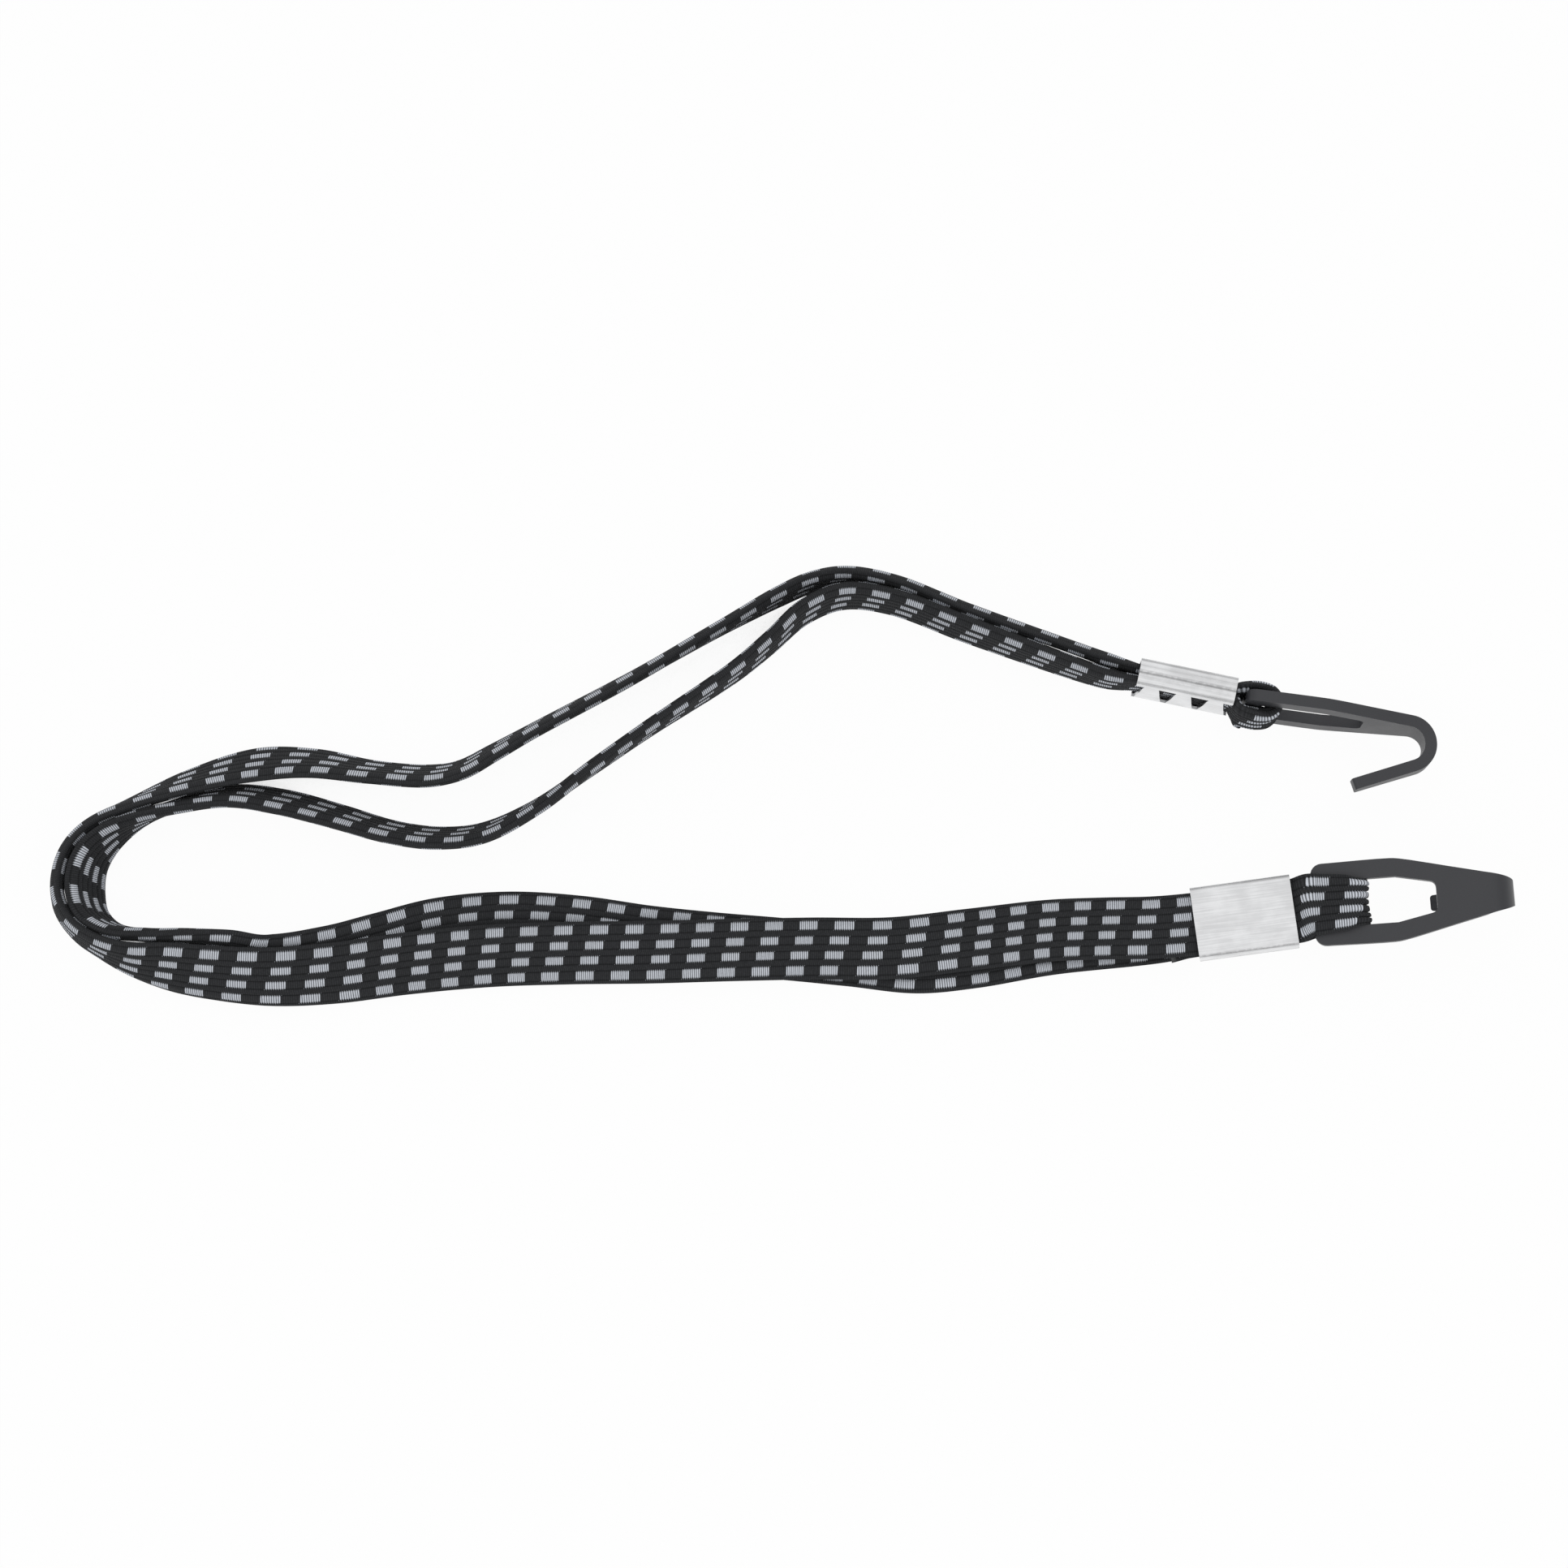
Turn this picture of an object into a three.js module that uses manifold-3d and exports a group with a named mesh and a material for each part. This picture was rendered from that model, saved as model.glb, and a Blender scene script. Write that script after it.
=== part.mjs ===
// Elastic tie-down strap, laid on a table in a long U with both hooks to the right.
// One ribbed elastic webbing is doubled into two bands. At each end it is looped round the bar of a
// plastic hook and held by a crimped sheet ferrule. Rubber threads run the whole length inside the ribs.
// Millimetres, +Z up, +X towards the hooks, the table at Z = 0.

import * as THREE from "three";
import { mergeVertices } from "three/addons/utils/BufferGeometryUtils.js";
import Module from "manifold-3d";

// Webbing: overall section, and the woven wall round the threads.
const WEBBING_WIDTH = 16.5;
const WEBBING_THICKNESS = 2.4;
const WEBBING_EDGE_ROUND = 0.9;
const COVER_WALL = 0.5;
const THREAD_COUNT = 9;
const THREAD_HEIGHT = 0.75;
const THREAD_SPACING = 0.45;
const THREAD_CLEARANCE = 0.3;
const THREAD_END_INSET = 1.0;
const TAIL_LENGTH = 8.0;
const TAIL_DRIFT = 1.0;
const TAIL_LIFT = 0.25;
const BURIED_END_INSET = 4.0;

// Ferrule: a sheet wrapped round the layers, a straight lip on one edge and tongues on the other.
const FERRULE_LENGTH = 26.8;
const SHEET_THICKNESS = 0.8;
const FERRULE_CORNER_RADIUS = 1.6;
const SIDE_CLEARANCE = 0.4;
const LAYER_CLEARANCE = 0.3;
const CREASE_DEPTH = 0.3;
const CREASE_HALF_WIDTH = 0.8;
const TONGUE_COUNT = 3;
const TONGUE_TIP_WIDTH = 3.6;
const NOTCH_BASE_WIDTH = 1.7;
const TONGUE_TIP_GAP = 0.4;
const LIP_WIDTH = 1.2;
const TONGUE_ROOT = 0.6;

// Hook: a flat plate with an eye, tapering into a bend and a return arm.
const PLATE_THICKNESS = 3.1;
const PLATE_EDGE_CHAMFER = 0.45;
const PLATE_END_WIDTH = 21.4;
const PLATE_CORNER_RADIUS = 3.0;
const SHOULDER_WIDTH = 21.9;
const SHOULDER_AT = 21.6;
const BEND_START_AT = 44.3;
const BEND_START_WIDTH = 11.0;
const BEND_MIDDLE_WIDTH = 6.4;
const BEND_RADIUS = 5.8;
const BEND_TURN = 155;
const ARM_LENGTH = 17.5;
const ARM_TIP_WIDTH = 4.2;
const ARM_TIP_ROUND = 0.8;
const BAR_WIDTH = 4.0;
const EYE_WIDTH = 12.0;
const EYE_END_AT = 31.8;
const EYE_END_WIDTH = 7.8;
const EYE_CORNER_RADIUS = 1.7;

// The loop of webbing round the bar.
const EYE_CLEARANCE = 0.35;
const SWING_CLEARANCE = 0.3;
const LOOP_GATHER_LENGTH = 5.0;
const SWEPT_LEG_SHARE = 0.77;
const FREE_LEG_SHARE = 0.66;
const MOUTH_WIDTH_SHARE = 0.85;

// The two ends: the ferrule's mouth on the strap side, its heading, incline and roll in degrees,
// the layers that it holds, and how the hook sits beyond it. A loop's reach is from the plate's end.
const LOWER_END = {
  mouth: [109.7, -38.65, 6.0],
  heading: 5.9,
  incline: 10,
  roll: 6,
  layers: 3,
  hookGap: 4.5,
  hookShift: 0.5,
  hookRise: 1.8,
  hookSkew: -3.8,
  hookSwing: 1.6,
  hookRoll: 0,
  loopReach: 14.4,
};
const UPPER_END = {
  mouth: [95.8, 28.3, 10.3],
  heading: -12.3,
  incline: 0,
  roll: -82,
  layers: 2,
  hookGap: 2.75,
  hookShift: -0.7,
  hookRise: -1.06,
  hookSkew: -0.2,
  hookSwing: 4.1,
  hookRoll: -7,
  loopReach: 9.4,
};

// Routes from the lower ferrule round the bend to the upper one, on the face that a band turns to the
// other band: X, Y, Z, and the lean of the width from upright, positive where the top leans outwards.
const OUTER_ROUTE = [
  [98.9, -39.6, 6.6, -86],
  [85.9, -39.5, 4.8, -87],
  [71.9, -39.9, 3.9, -88],
  [51.9, -42.1, 3.5, -88],
  [30.5, -44.5, 3.5, -88],
  [9.2, -44.6, 3.5, -87],
  [-12.2, -45.0, 3.6, -85],
  [-33.5, -45.4, 3.4, -80],
  [-54.9, -45.5, 3.1, -76],
  [-76.2, -46.2, 3.1, -73],
  [-97.4, -48.3, 3.9, -69],
  [-116.3, -51.0, 5.1, -64],
  [-133.1, -52.2, 7.4, -56],
  [-149.1, -50.8, 7.7, -47],
  [-158.6, -49.3, 7.8, -39],
  [-168.1, -47.3, 8.0, -22],
  [-176.3, -43.8, 8.3, -10],
  [-183.1, -39.2, 8.3, -8],
  [-187.3, -33.0, 8.3, -11],
  [-188.0, -25.8, 8.2, -13],
  [-185.8, -18.8, 8.2, -14],
  [-180.4, -13.0, 8.2, -15],
  [-169.7, -7.3, 7.9, -22],
  [-155.8, -1.2, 7.1, -36],
  [-139.1, 3.8, 6.1, -47],
  [-124.1, 4.1, 6.5, -41],
  [-108.1, 1.4, 7.3, -32],
  [-92.1, 0.3, 7.4, -31],
  [-83.5, 2.0, 7.5, -28],
  [-75.1, 6.6, 7.7, -25],
  [-64.7, 12.6, 7.9, -21],
  [-40.0, 26.3, 8.2, -12],
  [-15.4, 40.9, 8.4, -6],
  [1.4, 50.9, 8.5, 0],
  [9.9, 55.2, 8.5, -1],
  [18.9, 56.7, 8.4, -5],
  [31.5, 54.8, 8.4, -8],
  [51.5, 46.7, 8.7, -8],
  [80.9, 35.0, 9.3, -6],
];
const INNER_ROUTE = [
  [98.9, -40.0, 2.85, -87],
  [71.9, -42.9, 2.9, -88],
  [51.9, -46.4, 2.9, -88],
  [36.9, -47.8, 2.9, -88],
  [19.9, -46.0, 3.0, -88],
  [1.9, -44.2, 3.0, -87],
  [-16.5, -42.7, 3.1, -86],
  [-34.1, -40.9, 3.2, -85],
  [-52.6, -38.3, 3.4, -84],
  [-71.3, -37.3, 3.6, -83],
  [-89.4, -39.3, 4.2, -78],
  [-104.2, -43.6, 5.2, -71],
  [-117.1, -47.2, 6.0, -60],
  [-133.1, -49.3, 7.6, -46],
  [-143.1, -46.6, 8.5, -25],
  [-153.1, -44.0, 8.5, -5],
  [-164.3, -42.6, 8.3, 8],
  [-174.3, -40.8, 8.1, 15],
  [-180.3, -36.0, 7.6, 22],
  [-182.4, -29.4, 7.3, 25],
  [-181.7, -22.2, 7.7, 20],
  [-177.5, -15.5, 8.1, 10],
  [-169.0, -9.7, 8.7, -8],
  [-158.4, -5.7, 8.6, -22],
  [-145.2, -3.2, 8.3, -31],
  [-131.1, -4.4, 8.1, -34],
  [-115.8, -8.5, 8.3, -32],
  [-102.2, -12.5, 8.3, -30],
  [-90.1, -14.2, 8.3, -30],
  [-78.4, -13.0, 8.5, -28],
  [-64.9, -6.3, 8.7, -20],
  [-50.7, 4.3, 8.6, -10],
  [-35.4, 15.5, 8.4, -6],
  [-12.2, 31.6, 8.3, 0],
  [-2.7, 39.8, 8.3, 3],
  [6.5, 48.0, 8.2, 7],
  [17.7, 52.6, 8.0, 9],
  [31.2, 51.0, 8.3, 8],
  [52.3, 42.5, 8.5, 9],
  [81.5, 31.2, 9.2, 6],
];

// Finishes.
const WEBBING_FINISH = { color: 0x25272a, roughness: 0.9, metalness: 0 };
const RUBBER_FINISH = { color: 0xb9ac90, roughness: 0.8, metalness: 0 };
const SHEET_FINISH = { color: 0xd4d6d8, roughness: 0.35, metalness: 1 };
const PLASTIC_FINISH = { color: 0x3a3b3f, roughness: 0.5, metalness: 0 };

const radians = THREE.MathUtils.degToRad;

const BEND_STEPS = 12;
const CORNER_SEGMENTS = 4;
const STEP_ANGLE = radians(18);

const X_AXIS = new THREE.Vector3(1, 0, 0);
const Y_AXIS = new THREE.Vector3(0, 1, 0);
const Z_AXIS = new THREE.Vector3(0, 0, 1);

const wasm = await Module();
wasm.setup();

function toSolid(geometry) {
  const bare = geometry.clone();
  bare.deleteAttribute("normal");
  bare.deleteAttribute("uv");
  const merged = mergeVertices(bare);
  return new wasm.Manifold(
    new wasm.Mesh({
      numProp: 3,
      vertProperties: new Float32Array(merged.attributes.position.array),
      triVerts: new Uint32Array(merged.index.array),
    }),
  );
}

function fromSolid(solid) {
  const mesh = solid.getMesh();
  const geometry = new THREE.BufferGeometry();
  geometry.setAttribute("position", new THREE.BufferAttribute(mesh.vertProperties.slice(), 3));
  geometry.setIndex(new THREE.BufferAttribute(mesh.triVerts.slice(), 1));
  return geometry;
}

// Joins rings of equally many points into walls. Each ring list is one wall, wound by the right-hand
// rule about the direction of travel for an outside wall. Closes both ends with fans for one wall, or
// with flat rims between an outside wall and an inside wall.
function sweptGeometry(outside, inside) {
  const positions = [];
  const indices = [];
  const addWall = (rings, outwards) => {
    const count = rings[0].length;
    const first = positions.length / 3;
    rings.flat().forEach((point) => positions.push(point.x, point.y, point.z));
    for (let ring = 0; ring + 1 < rings.length; ring += 1) {
      for (let side = 0; side < count; side += 1) {
        const a = first + ring * count + side;
        const b = first + ring * count + ((side + 1) % count);
        const c = b + count;
        const d = a + count;
        indices.push(...(outwards ? [a, b, c, a, c, d] : [a, c, b, a, d, c]));
      }
    }
    return { first, last: first + (rings.length - 1) * count, count };
  };
  const outer = addWall(outside, true);
  if (!inside) {
    for (let side = 1; side + 1 < outer.count; side += 1) {
      indices.push(outer.first, outer.first + side + 1, outer.first + side);
      indices.push(outer.last, outer.last + side, outer.last + side + 1);
    }
  } else {
    const inner = addWall(inside, false);
    const rim = (outerStart, innerStart, ring, turned) => {
      const contour = outside[ring].map((_, side) => outerStart + side);
      const hole = inside[ring].map((_, side) => innerStart + side);
      joinRim(positions, contour, hole).forEach(([a, b, c]) => {
        indices.push(...(turned ? [a, c, b] : [a, b, c]));
      });
    };
    rim(outer.first, inner.first, 0, true);
    rim(outer.last, inner.last, outside.length - 1, false);
  }
  const geometry = new THREE.BufferGeometry();
  geometry.setAttribute("position", new THREE.Float32BufferAttribute(positions, 3));
  geometry.setIndex(indices);
  return geometry;
}

// Triangles of the flat rim between two loops that go round together, walked by their share of the way.
function joinRim(positions, contour, hole) {
  const triangles = [];
  let outer = 0;
  let inner = 0;
  while (outer < contour.length || inner < hole.length) {
    const a = contour[outer % contour.length];
    const b = hole[inner % hole.length];
    if (inner >= hole.length || (outer < contour.length && outer / contour.length <= inner / hole.length)) {
      outer += 1;
      triangles.push([a, contour[outer % contour.length], b]);
    } else {
      inner += 1;
      triangles.push([a, hole[inner % hole.length], b]);
    }
  }
  return triangles;
}

// Derived sizes that several pieces share.
const LAYER_PITCH = WEBBING_THICKNESS + LAYER_CLEARANCE;
const FERRULE_HALF_WIDTH = WEBBING_WIDTH / 2 + SIDE_CLEARANCE + SHEET_THICKNESS;
const SWING_RADIUS = Math.hypot(BAR_WIDTH / 2, PLATE_THICKNESS / 2);
const LEG_HEIGHT = SWING_RADIUS + SWING_CLEARANCE + WEBBING_THICKNESS / 2;
const GATHERED_SHARE = (EYE_WIDTH - 2 * EYE_CLEARANCE) / WEBBING_WIDTH;

const ferruleHalfHeight = (layers) =>
  (layers * LAYER_PITCH + LAYER_CLEARANCE) / 2 + SHEET_THICKNESS;

// The frame of an end: X along the ferrule to the hook, Z out of the outer face, origin at the mouth.
function endGroup(end) {
  const group = new THREE.Group();
  group.position.set(...end.mouth);
  group.rotation.set(radians(end.roll), -radians(end.incline), radians(end.heading), "ZYX");
  group.updateMatrixWorld(true);
  return group;
}

// The frame of a hook inside its end: origin at the middle of the bar, which is the swing axis, along Y.
function hookGroup(end, parent) {
  const group = new THREE.Group();
  group.position.set(FERRULE_LENGTH + end.hookGap + BAR_WIDTH / 2, end.hookShift, end.hookRise);
  group.rotation.set(radians(end.hookRoll), -radians(end.hookSwing), radians(end.hookSkew), "ZYX");
  parent.add(group);
  parent.updateMatrixWorld(true);
  return group;
}

// A ferrule's section is a rounded box with a crease along the side that carries the lip.
function ferruleSection(halfWidth, halfHeight, radius) {
  const shape = new THREE.Shape();
  shape.moveTo(-halfWidth + radius, -halfHeight);
  shape.absarc(halfWidth - radius, -halfHeight + radius, radius, -Math.PI / 2, 0, false);
  shape.absarc(halfWidth - radius, halfHeight - radius, radius, 0, Math.PI / 2, false);
  shape.absarc(-halfWidth + radius, halfHeight - radius, radius, Math.PI / 2, Math.PI, false);
  shape.lineTo(-halfWidth, CREASE_HALF_WIDTH);
  shape.lineTo(-halfWidth + CREASE_DEPTH, 0);
  shape.lineTo(-halfWidth, -CREASE_HALF_WIDTH);
  shape.absarc(-halfWidth + radius, -halfHeight + radius, radius, Math.PI, 1.5 * Math.PI, false);
  return shape;
}

function ferruleGeometry(layers) {
  const halfHeight = ferruleHalfHeight(layers);
  const section = ferruleSection(FERRULE_HALF_WIDTH, halfHeight, FERRULE_CORNER_RADIUS);
  section.holes.push(
    ferruleSection(
      FERRULE_HALF_WIDTH - SHEET_THICKNESS,
      halfHeight - SHEET_THICKNESS,
      FERRULE_CORNER_RADIUS - SHEET_THICKNESS,
    ),
  );
  const sleeve = new THREE.ExtrudeGeometry(section, {
    depth: FERRULE_LENGTH,
    bevelEnabled: false,
    curveSegments: CORNER_SEGMENTS,
  });
  sleeve.applyMatrix4(new THREE.Matrix4().makeBasis(Y_AXIS, Z_AXIS, X_AXIS));

  const lipEdge = -FERRULE_HALF_WIDTH + FERRULE_CORNER_RADIUS + LIP_WIDTH;
  const tipLine = lipEdge + TONGUE_TIP_GAP;
  const rootLine = FERRULE_HALF_WIDTH - FERRULE_CORNER_RADIUS - TONGUE_ROOT;
  const pitch = FERRULE_LENGTH / TONGUE_COUNT;
  const beyond = 1;
  const seam = new THREE.Shape();
  seam.moveTo(-beyond, lipEdge);
  seam.lineTo(-beyond, rootLine);
  for (let tongue = 0; tongue < TONGUE_COUNT; tongue += 1) {
    const middle = (tongue + 0.5) * pitch;
    const rootHalf = (pitch - NOTCH_BASE_WIDTH) / 2;
    seam.lineTo(middle - rootHalf, rootLine);
    seam.lineTo(middle - TONGUE_TIP_WIDTH / 2, tipLine);
    seam.lineTo(middle + TONGUE_TIP_WIDTH / 2, tipLine);
    seam.lineTo(middle + rootHalf, rootLine);
  }
  seam.lineTo(FERRULE_LENGTH + beyond, rootLine);
  seam.lineTo(FERRULE_LENGTH + beyond, lipEdge);
  const cut = new THREE.ExtrudeGeometry(seam, {
    depth: SHEET_THICKNESS + LAYER_CLEARANCE / 2 + beyond,
    bevelEnabled: false,
  });
  cut.translate(0, 0, -halfHeight - beyond);
  return fromSolid(toSolid(sleeve).subtract(toSolid(cut)));
}

// A hook's middle line in its X-Z plane, its heading there and its width, from the bar to the arm's tip.
function hookStations() {
  const stations = [];
  const end = -BAR_WIDTH / 2;
  const flat = (along, width, thickness = PLATE_THICKNESS) =>
    stations.push({ x: end + along, z: 0, turn: 0, width, thickness });
  const cornerWidth = (along) => {
    const inset = PLATE_CORNER_RADIUS - along;
    return PLATE_END_WIDTH - 2 * (PLATE_CORNER_RADIUS - Math.sqrt(PLATE_CORNER_RADIUS ** 2 - inset ** 2));
  };
  flat(0, cornerWidth(0), PLATE_THICKNESS - 2 * PLATE_EDGE_CHAMFER);
  [PLATE_EDGE_CHAMFER, PLATE_CORNER_RADIUS * 0.4, PLATE_CORNER_RADIUS * 0.7].forEach((along) =>
    flat(along, cornerWidth(along)),
  );
  flat(PLATE_CORNER_RADIUS, PLATE_END_WIDTH);
  flat(SHOULDER_AT, SHOULDER_WIDTH);
  for (let step = 0; step <= BEND_STEPS; step += 1) {
    const share = step / BEND_STEPS;
    const turn = radians(BEND_TURN) * share;
    const near = THREE.MathUtils.lerp(BEND_START_WIDTH, BEND_MIDDLE_WIDTH, Math.min(1, share * 2));
    const far = THREE.MathUtils.lerp(BEND_MIDDLE_WIDTH, ARM_TIP_WIDTH, Math.max(0, share - 0.5));
    stations.push({
      x: end + BEND_START_AT + BEND_RADIUS * Math.sin(turn),
      z: -BEND_RADIUS * (1 - Math.cos(turn)),
      turn,
      width: share < 0.5 ? near : far,
      thickness: PLATE_THICKNESS,
    });
  }
  const last = stations[stations.length - 1];
  const arm = (along, width, thickness) =>
    stations.push({
      x: last.x + along * Math.cos(last.turn),
      z: last.z - along * Math.sin(last.turn),
      turn: last.turn,
      width,
      thickness,
    });
  arm(ARM_LENGTH - ARM_TIP_ROUND, ARM_TIP_WIDTH, PLATE_THICKNESS);
  arm(ARM_LENGTH, ARM_TIP_WIDTH - ARM_TIP_ROUND, PLATE_THICKNESS - ARM_TIP_ROUND);
  return stations;
}

function hookGeometry() {
  const rings = hookStations().map(({ x, z, turn, width, thickness }) => {
    const up = new THREE.Vector3(Math.sin(turn), 0, Math.cos(turn));
    const half = width / 2;
    const rise = thickness / 2;
    const edge = PLATE_EDGE_CHAMFER;
    const section = [
      [half - edge, -rise],
      [half, -rise + edge],
      [half, rise - edge],
      [half - edge, rise],
      [-half + edge, rise],
      [-half, rise - edge],
      [-half, -rise + edge],
      [-half + edge, -rise],
    ];
    return section.map(([across, over]) =>
      new THREE.Vector3(x, 0, z).addScaledVector(Y_AXIS, across).addScaledVector(up, over),
    );
  });
  return fromSolid(toSolid(sweptGeometry(rings)).subtract(toSolid(eyeGeometry())));
}

// The eye keeps its width to the shoulder and then narrows with the plate; its corners are round.
function eyeGeometry() {
  const start = BAR_WIDTH / 2;
  const shoulder = SHOULDER_AT - BAR_WIDTH / 2;
  const finish = EYE_END_AT - BAR_WIDTH / 2;
  const radius = EYE_CORNER_RADIUS;
  const half = EYE_WIDTH / 2;
  const endHalf = EYE_END_WIDTH / 2;
  const slope = (half - endHalf) / (finish - shoulder);
  const lean = Math.atan(slope);
  const endCentre = endHalf - radius / Math.cos(lean) + slope * radius;
  const shape = new THREE.Shape();
  shape.absarc(start + radius, -half + radius, radius, Math.PI, 1.5 * Math.PI, false);
  shape.lineTo(shoulder, -half);
  shape.absarc(finish - radius, -endCentre, radius, -Math.PI / 2 + lean, 0, false);
  shape.absarc(finish - radius, endCentre, radius, 0, Math.PI / 2 - lean, false);
  shape.lineTo(shoulder, half);
  shape.absarc(start + radius, half - radius, radius, Math.PI / 2, Math.PI, false);
  const eye = new THREE.ExtrudeGeometry(shape, {
    depth: 2 * PLATE_THICKNESS,
    bevelEnabled: false,
    curveSegments: CORNER_SEGMENTS,
  });
  eye.translate(0, 0, -PLATE_THICKNESS);
  return eye;
}

// Knots of the strip: a place, the direction of its width, and its width as a share of the full width.
const knot = (place, across, share = 1) => ({ place, across, share });

function ferruleKnot(frame, along, layer, sideways, share, drift = 0) {
  const place = new THREE.Vector3(along, drift, layer * LAYER_PITCH).applyMatrix4(frame.matrixWorld);
  return knot(place, sideways.clone().transformDirection(frame.matrixWorld), share);
}

// Knots of a loop round the bar, from its first leg to its apex and back, by the plate's end and the reach.
// The leg on the hook's outer side stands further off, because the plate's end sweeps past it.
function loopKnots(hook, reach, firstSide, sideways) {
  const apex = reach - WEBBING_THICKNESS / 2 - BAR_WIDTH / 2;
  const nose = LEG_HEIGHT * 1.25;
  const leg = (side) => [
    [-BAR_WIDTH / 2 - EYE_CLEARANCE * 2, side * LEG_HEIGHT * (side > 0 ? SWEPT_LEG_SHARE : FREE_LEG_SHARE)],
    [0, side * LEG_HEIGHT],
    [Math.max(apex - nose, BAR_WIDTH / 4), side * LEG_HEIGHT],
    [apex - nose * 0.42, side * LEG_HEIGHT * 0.78],
    [apex - nose * 0.08, side * LEG_HEIGHT * 0.36],
  ];
  const outline = [...leg(firstSide), ...leg(-firstSide).toReversed()];
  return outline.map(([x, z]) =>
    knot(
      new THREE.Vector3(x, 0, z).applyMatrix4(hook.matrixWorld),
      sideways.clone().transformDirection(hook.matrixWorld),
      GATHERED_SHARE,
    ),
  );
}

// Knots of a band: half the thickness is added on the side away from the other band.
function routeKnots(route, away) {
  const places = route.map(([x, y, z]) => new THREE.Vector3(x, y, z));
  return route.map(([, , , lean], index) => {
    const before = places[Math.max(index - 1, 0)];
    const after = places[Math.min(index + 1, places.length - 1)];
    const travel = after.clone().sub(before).setZ(0).normalize();
    const outwards = new THREE.Vector3(-travel.y, travel.x, 0);
    const tilt = radians(lean);
    const across = Z_AXIS.clone().multiplyScalar(Math.cos(tilt)).addScaledVector(outwards, Math.sin(tilt));
    const face = outwards.clone().multiplyScalar(Math.cos(tilt)).addScaledVector(Z_AXIS, -Math.sin(tilt));
    const place = places[index].clone().addScaledVector(face, (away * WEBBING_THICKNESS) / 2);
    return knot(place, across);
  });
}

// Places, width directions and width shares along knots, in more steps where the strip turns or twists.
function stripFrames(knots) {
  const path = new THREE.CatmullRomCurve3(knots.map(({ place }) => place));
  const across = new THREE.CatmullRomCurve3(knots.map((each) => each.across), false, "catmullrom");
  const spans = knots.length - 1;
  const frames = [];
  const addFrame = (span, part) => {
    const at = (span + part) / spans;
    const travel = path.getTangent(at);
    const width = across.getPoint(at);
    width.addScaledVector(travel, -width.dot(travel)).normalize();
    frames.push({
      place: path.getPoint(at),
      travel,
      width,
      face: travel.clone().cross(width),
      share: THREE.MathUtils.lerp(knots[span].share, knots[span + 1].share, part),
    });
  };
  for (let span = 0; span < spans; span += 1) {
    const turn = path.getTangent(span / spans).angleTo(path.getTangent((span + 1) / spans));
    const twist = knots[span].across.angleTo(knots[span + 1].across);
    const steps = Math.max(1, Math.round((turn + twist) / STEP_ANGLE));
    for (let step = 0; step < steps; step += 1) {
      addFrame(span, step / steps);
    }
  }
  addFrame(spans - 1, 1);
  return frames;
}

// Outline of the webbing or of its hollow, as places across the width and over the thickness.
function bandOutline(halfWidth, halfHeight, round, spans) {
  const flat = halfWidth - round;
  const across = Array.from({ length: spans + 1 }, (_, index) => -flat + (2 * flat * index) / spans);
  return [
    ...across.map((place) => [place, -halfHeight]),
    [halfWidth, 0],
    ...across.toReversed().map((place) => [place, halfHeight]),
    [-halfWidth, 0],
  ];
}

const placeRing = (frame, outline, shift = 0) =>
  outline.map(([across, over]) =>
    frame.place
      .clone()
      .addScaledVector(frame.travel, shift)
      .addScaledVector(frame.width, across * frame.share)
      .addScaledVector(frame.face, over),
  );

const CAVITY_HALF_HEIGHT = WEBBING_THICKNESS / 2 - COVER_WALL;
const CAVITY_HALF_WIDTH = WEBBING_WIDTH / 2 - COVER_WALL;
const COVER_SPANS = 4;

// A woven cover: a flat sleeve along its frames, open at both ends where the threads run on.
function coverGeometry(frames, startShift, endShift) {
  const skin = bandOutline(WEBBING_WIDTH / 2, WEBBING_THICKNESS / 2, WEBBING_EDGE_ROUND, COVER_SPANS);
  const hollow = bandOutline(CAVITY_HALF_WIDTH, CAVITY_HALF_HEIGHT, COVER_WALL, COVER_SPANS);
  const last = frames.length - 1;
  const shift = (index) => (index === 0 ? startShift : 0) + (index === last ? endShift : 0);
  return sweptGeometry(
    frames.map((frame, index) => placeRing(frame, skin, shift(index))),
    frames.map((frame, index) => placeRing(frame, hollow, shift(index))),
  );
}

// A rubber thread: a three-sided strand along the whole strip, at its own rib.
function threadGeometry(frames, index) {
  const room = 2 * (CAVITY_HALF_WIDTH - COVER_WALL - THREAD_CLEARANCE);
  const pitch = room / THREAD_COUNT;
  const middle = (index - (THREAD_COUNT - 1) / 2) * pitch;
  const half = (pitch - THREAD_SPACING) / 2;
  const rise = THREAD_HEIGHT / 2;
  const section = [
    [middle - half, -rise],
    [middle + half, -rise],
    [middle, rise],
  ];
  const last = frames.length - 1;
  const inset = (at) => (at === 0 ? THREAD_END_INSET : 0) - (at === last ? THREAD_END_INSET : 0);
  return sweptGeometry(frames.map((frame, at) => placeRing(frame, section, inset(at))));
}

function namedMesh(name, geometry, finish) {
  const mesh = new THREE.Mesh(geometry, new THREE.MeshStandardMaterial(finish));
  mesh.name = name;
  return mesh;
}

// The strip runs from its buried end in the lower ferrule along the inner band, round the upper bar,
// back along the outer band, round the lower bar and out of the lower ferrule as a short tail.
const strap = new THREE.Group();
const lowerEnd = endGroup(LOWER_END);
const upperEnd = endGroup(UPPER_END);
const lowerHook = hookGroup(LOWER_END, lowerEnd);
const upperHook = hookGroup(UPPER_END, upperEnd);
strap.add(lowerEnd, upperEnd);

const minusY = Y_AXIS.clone().negate();
const lower = (along, layer, share, drift) => ferruleKnot(lowerEnd, along, layer, Y_AXIS, share, drift);
const upper = (along, layer, share) => ferruleKnot(upperEnd, along, layer, minusY, share);
const middleOfFerrule = FERRULE_LENGTH / 2;
const gatherStart = FERRULE_LENGTH - LOOP_GATHER_LENGTH;

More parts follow.
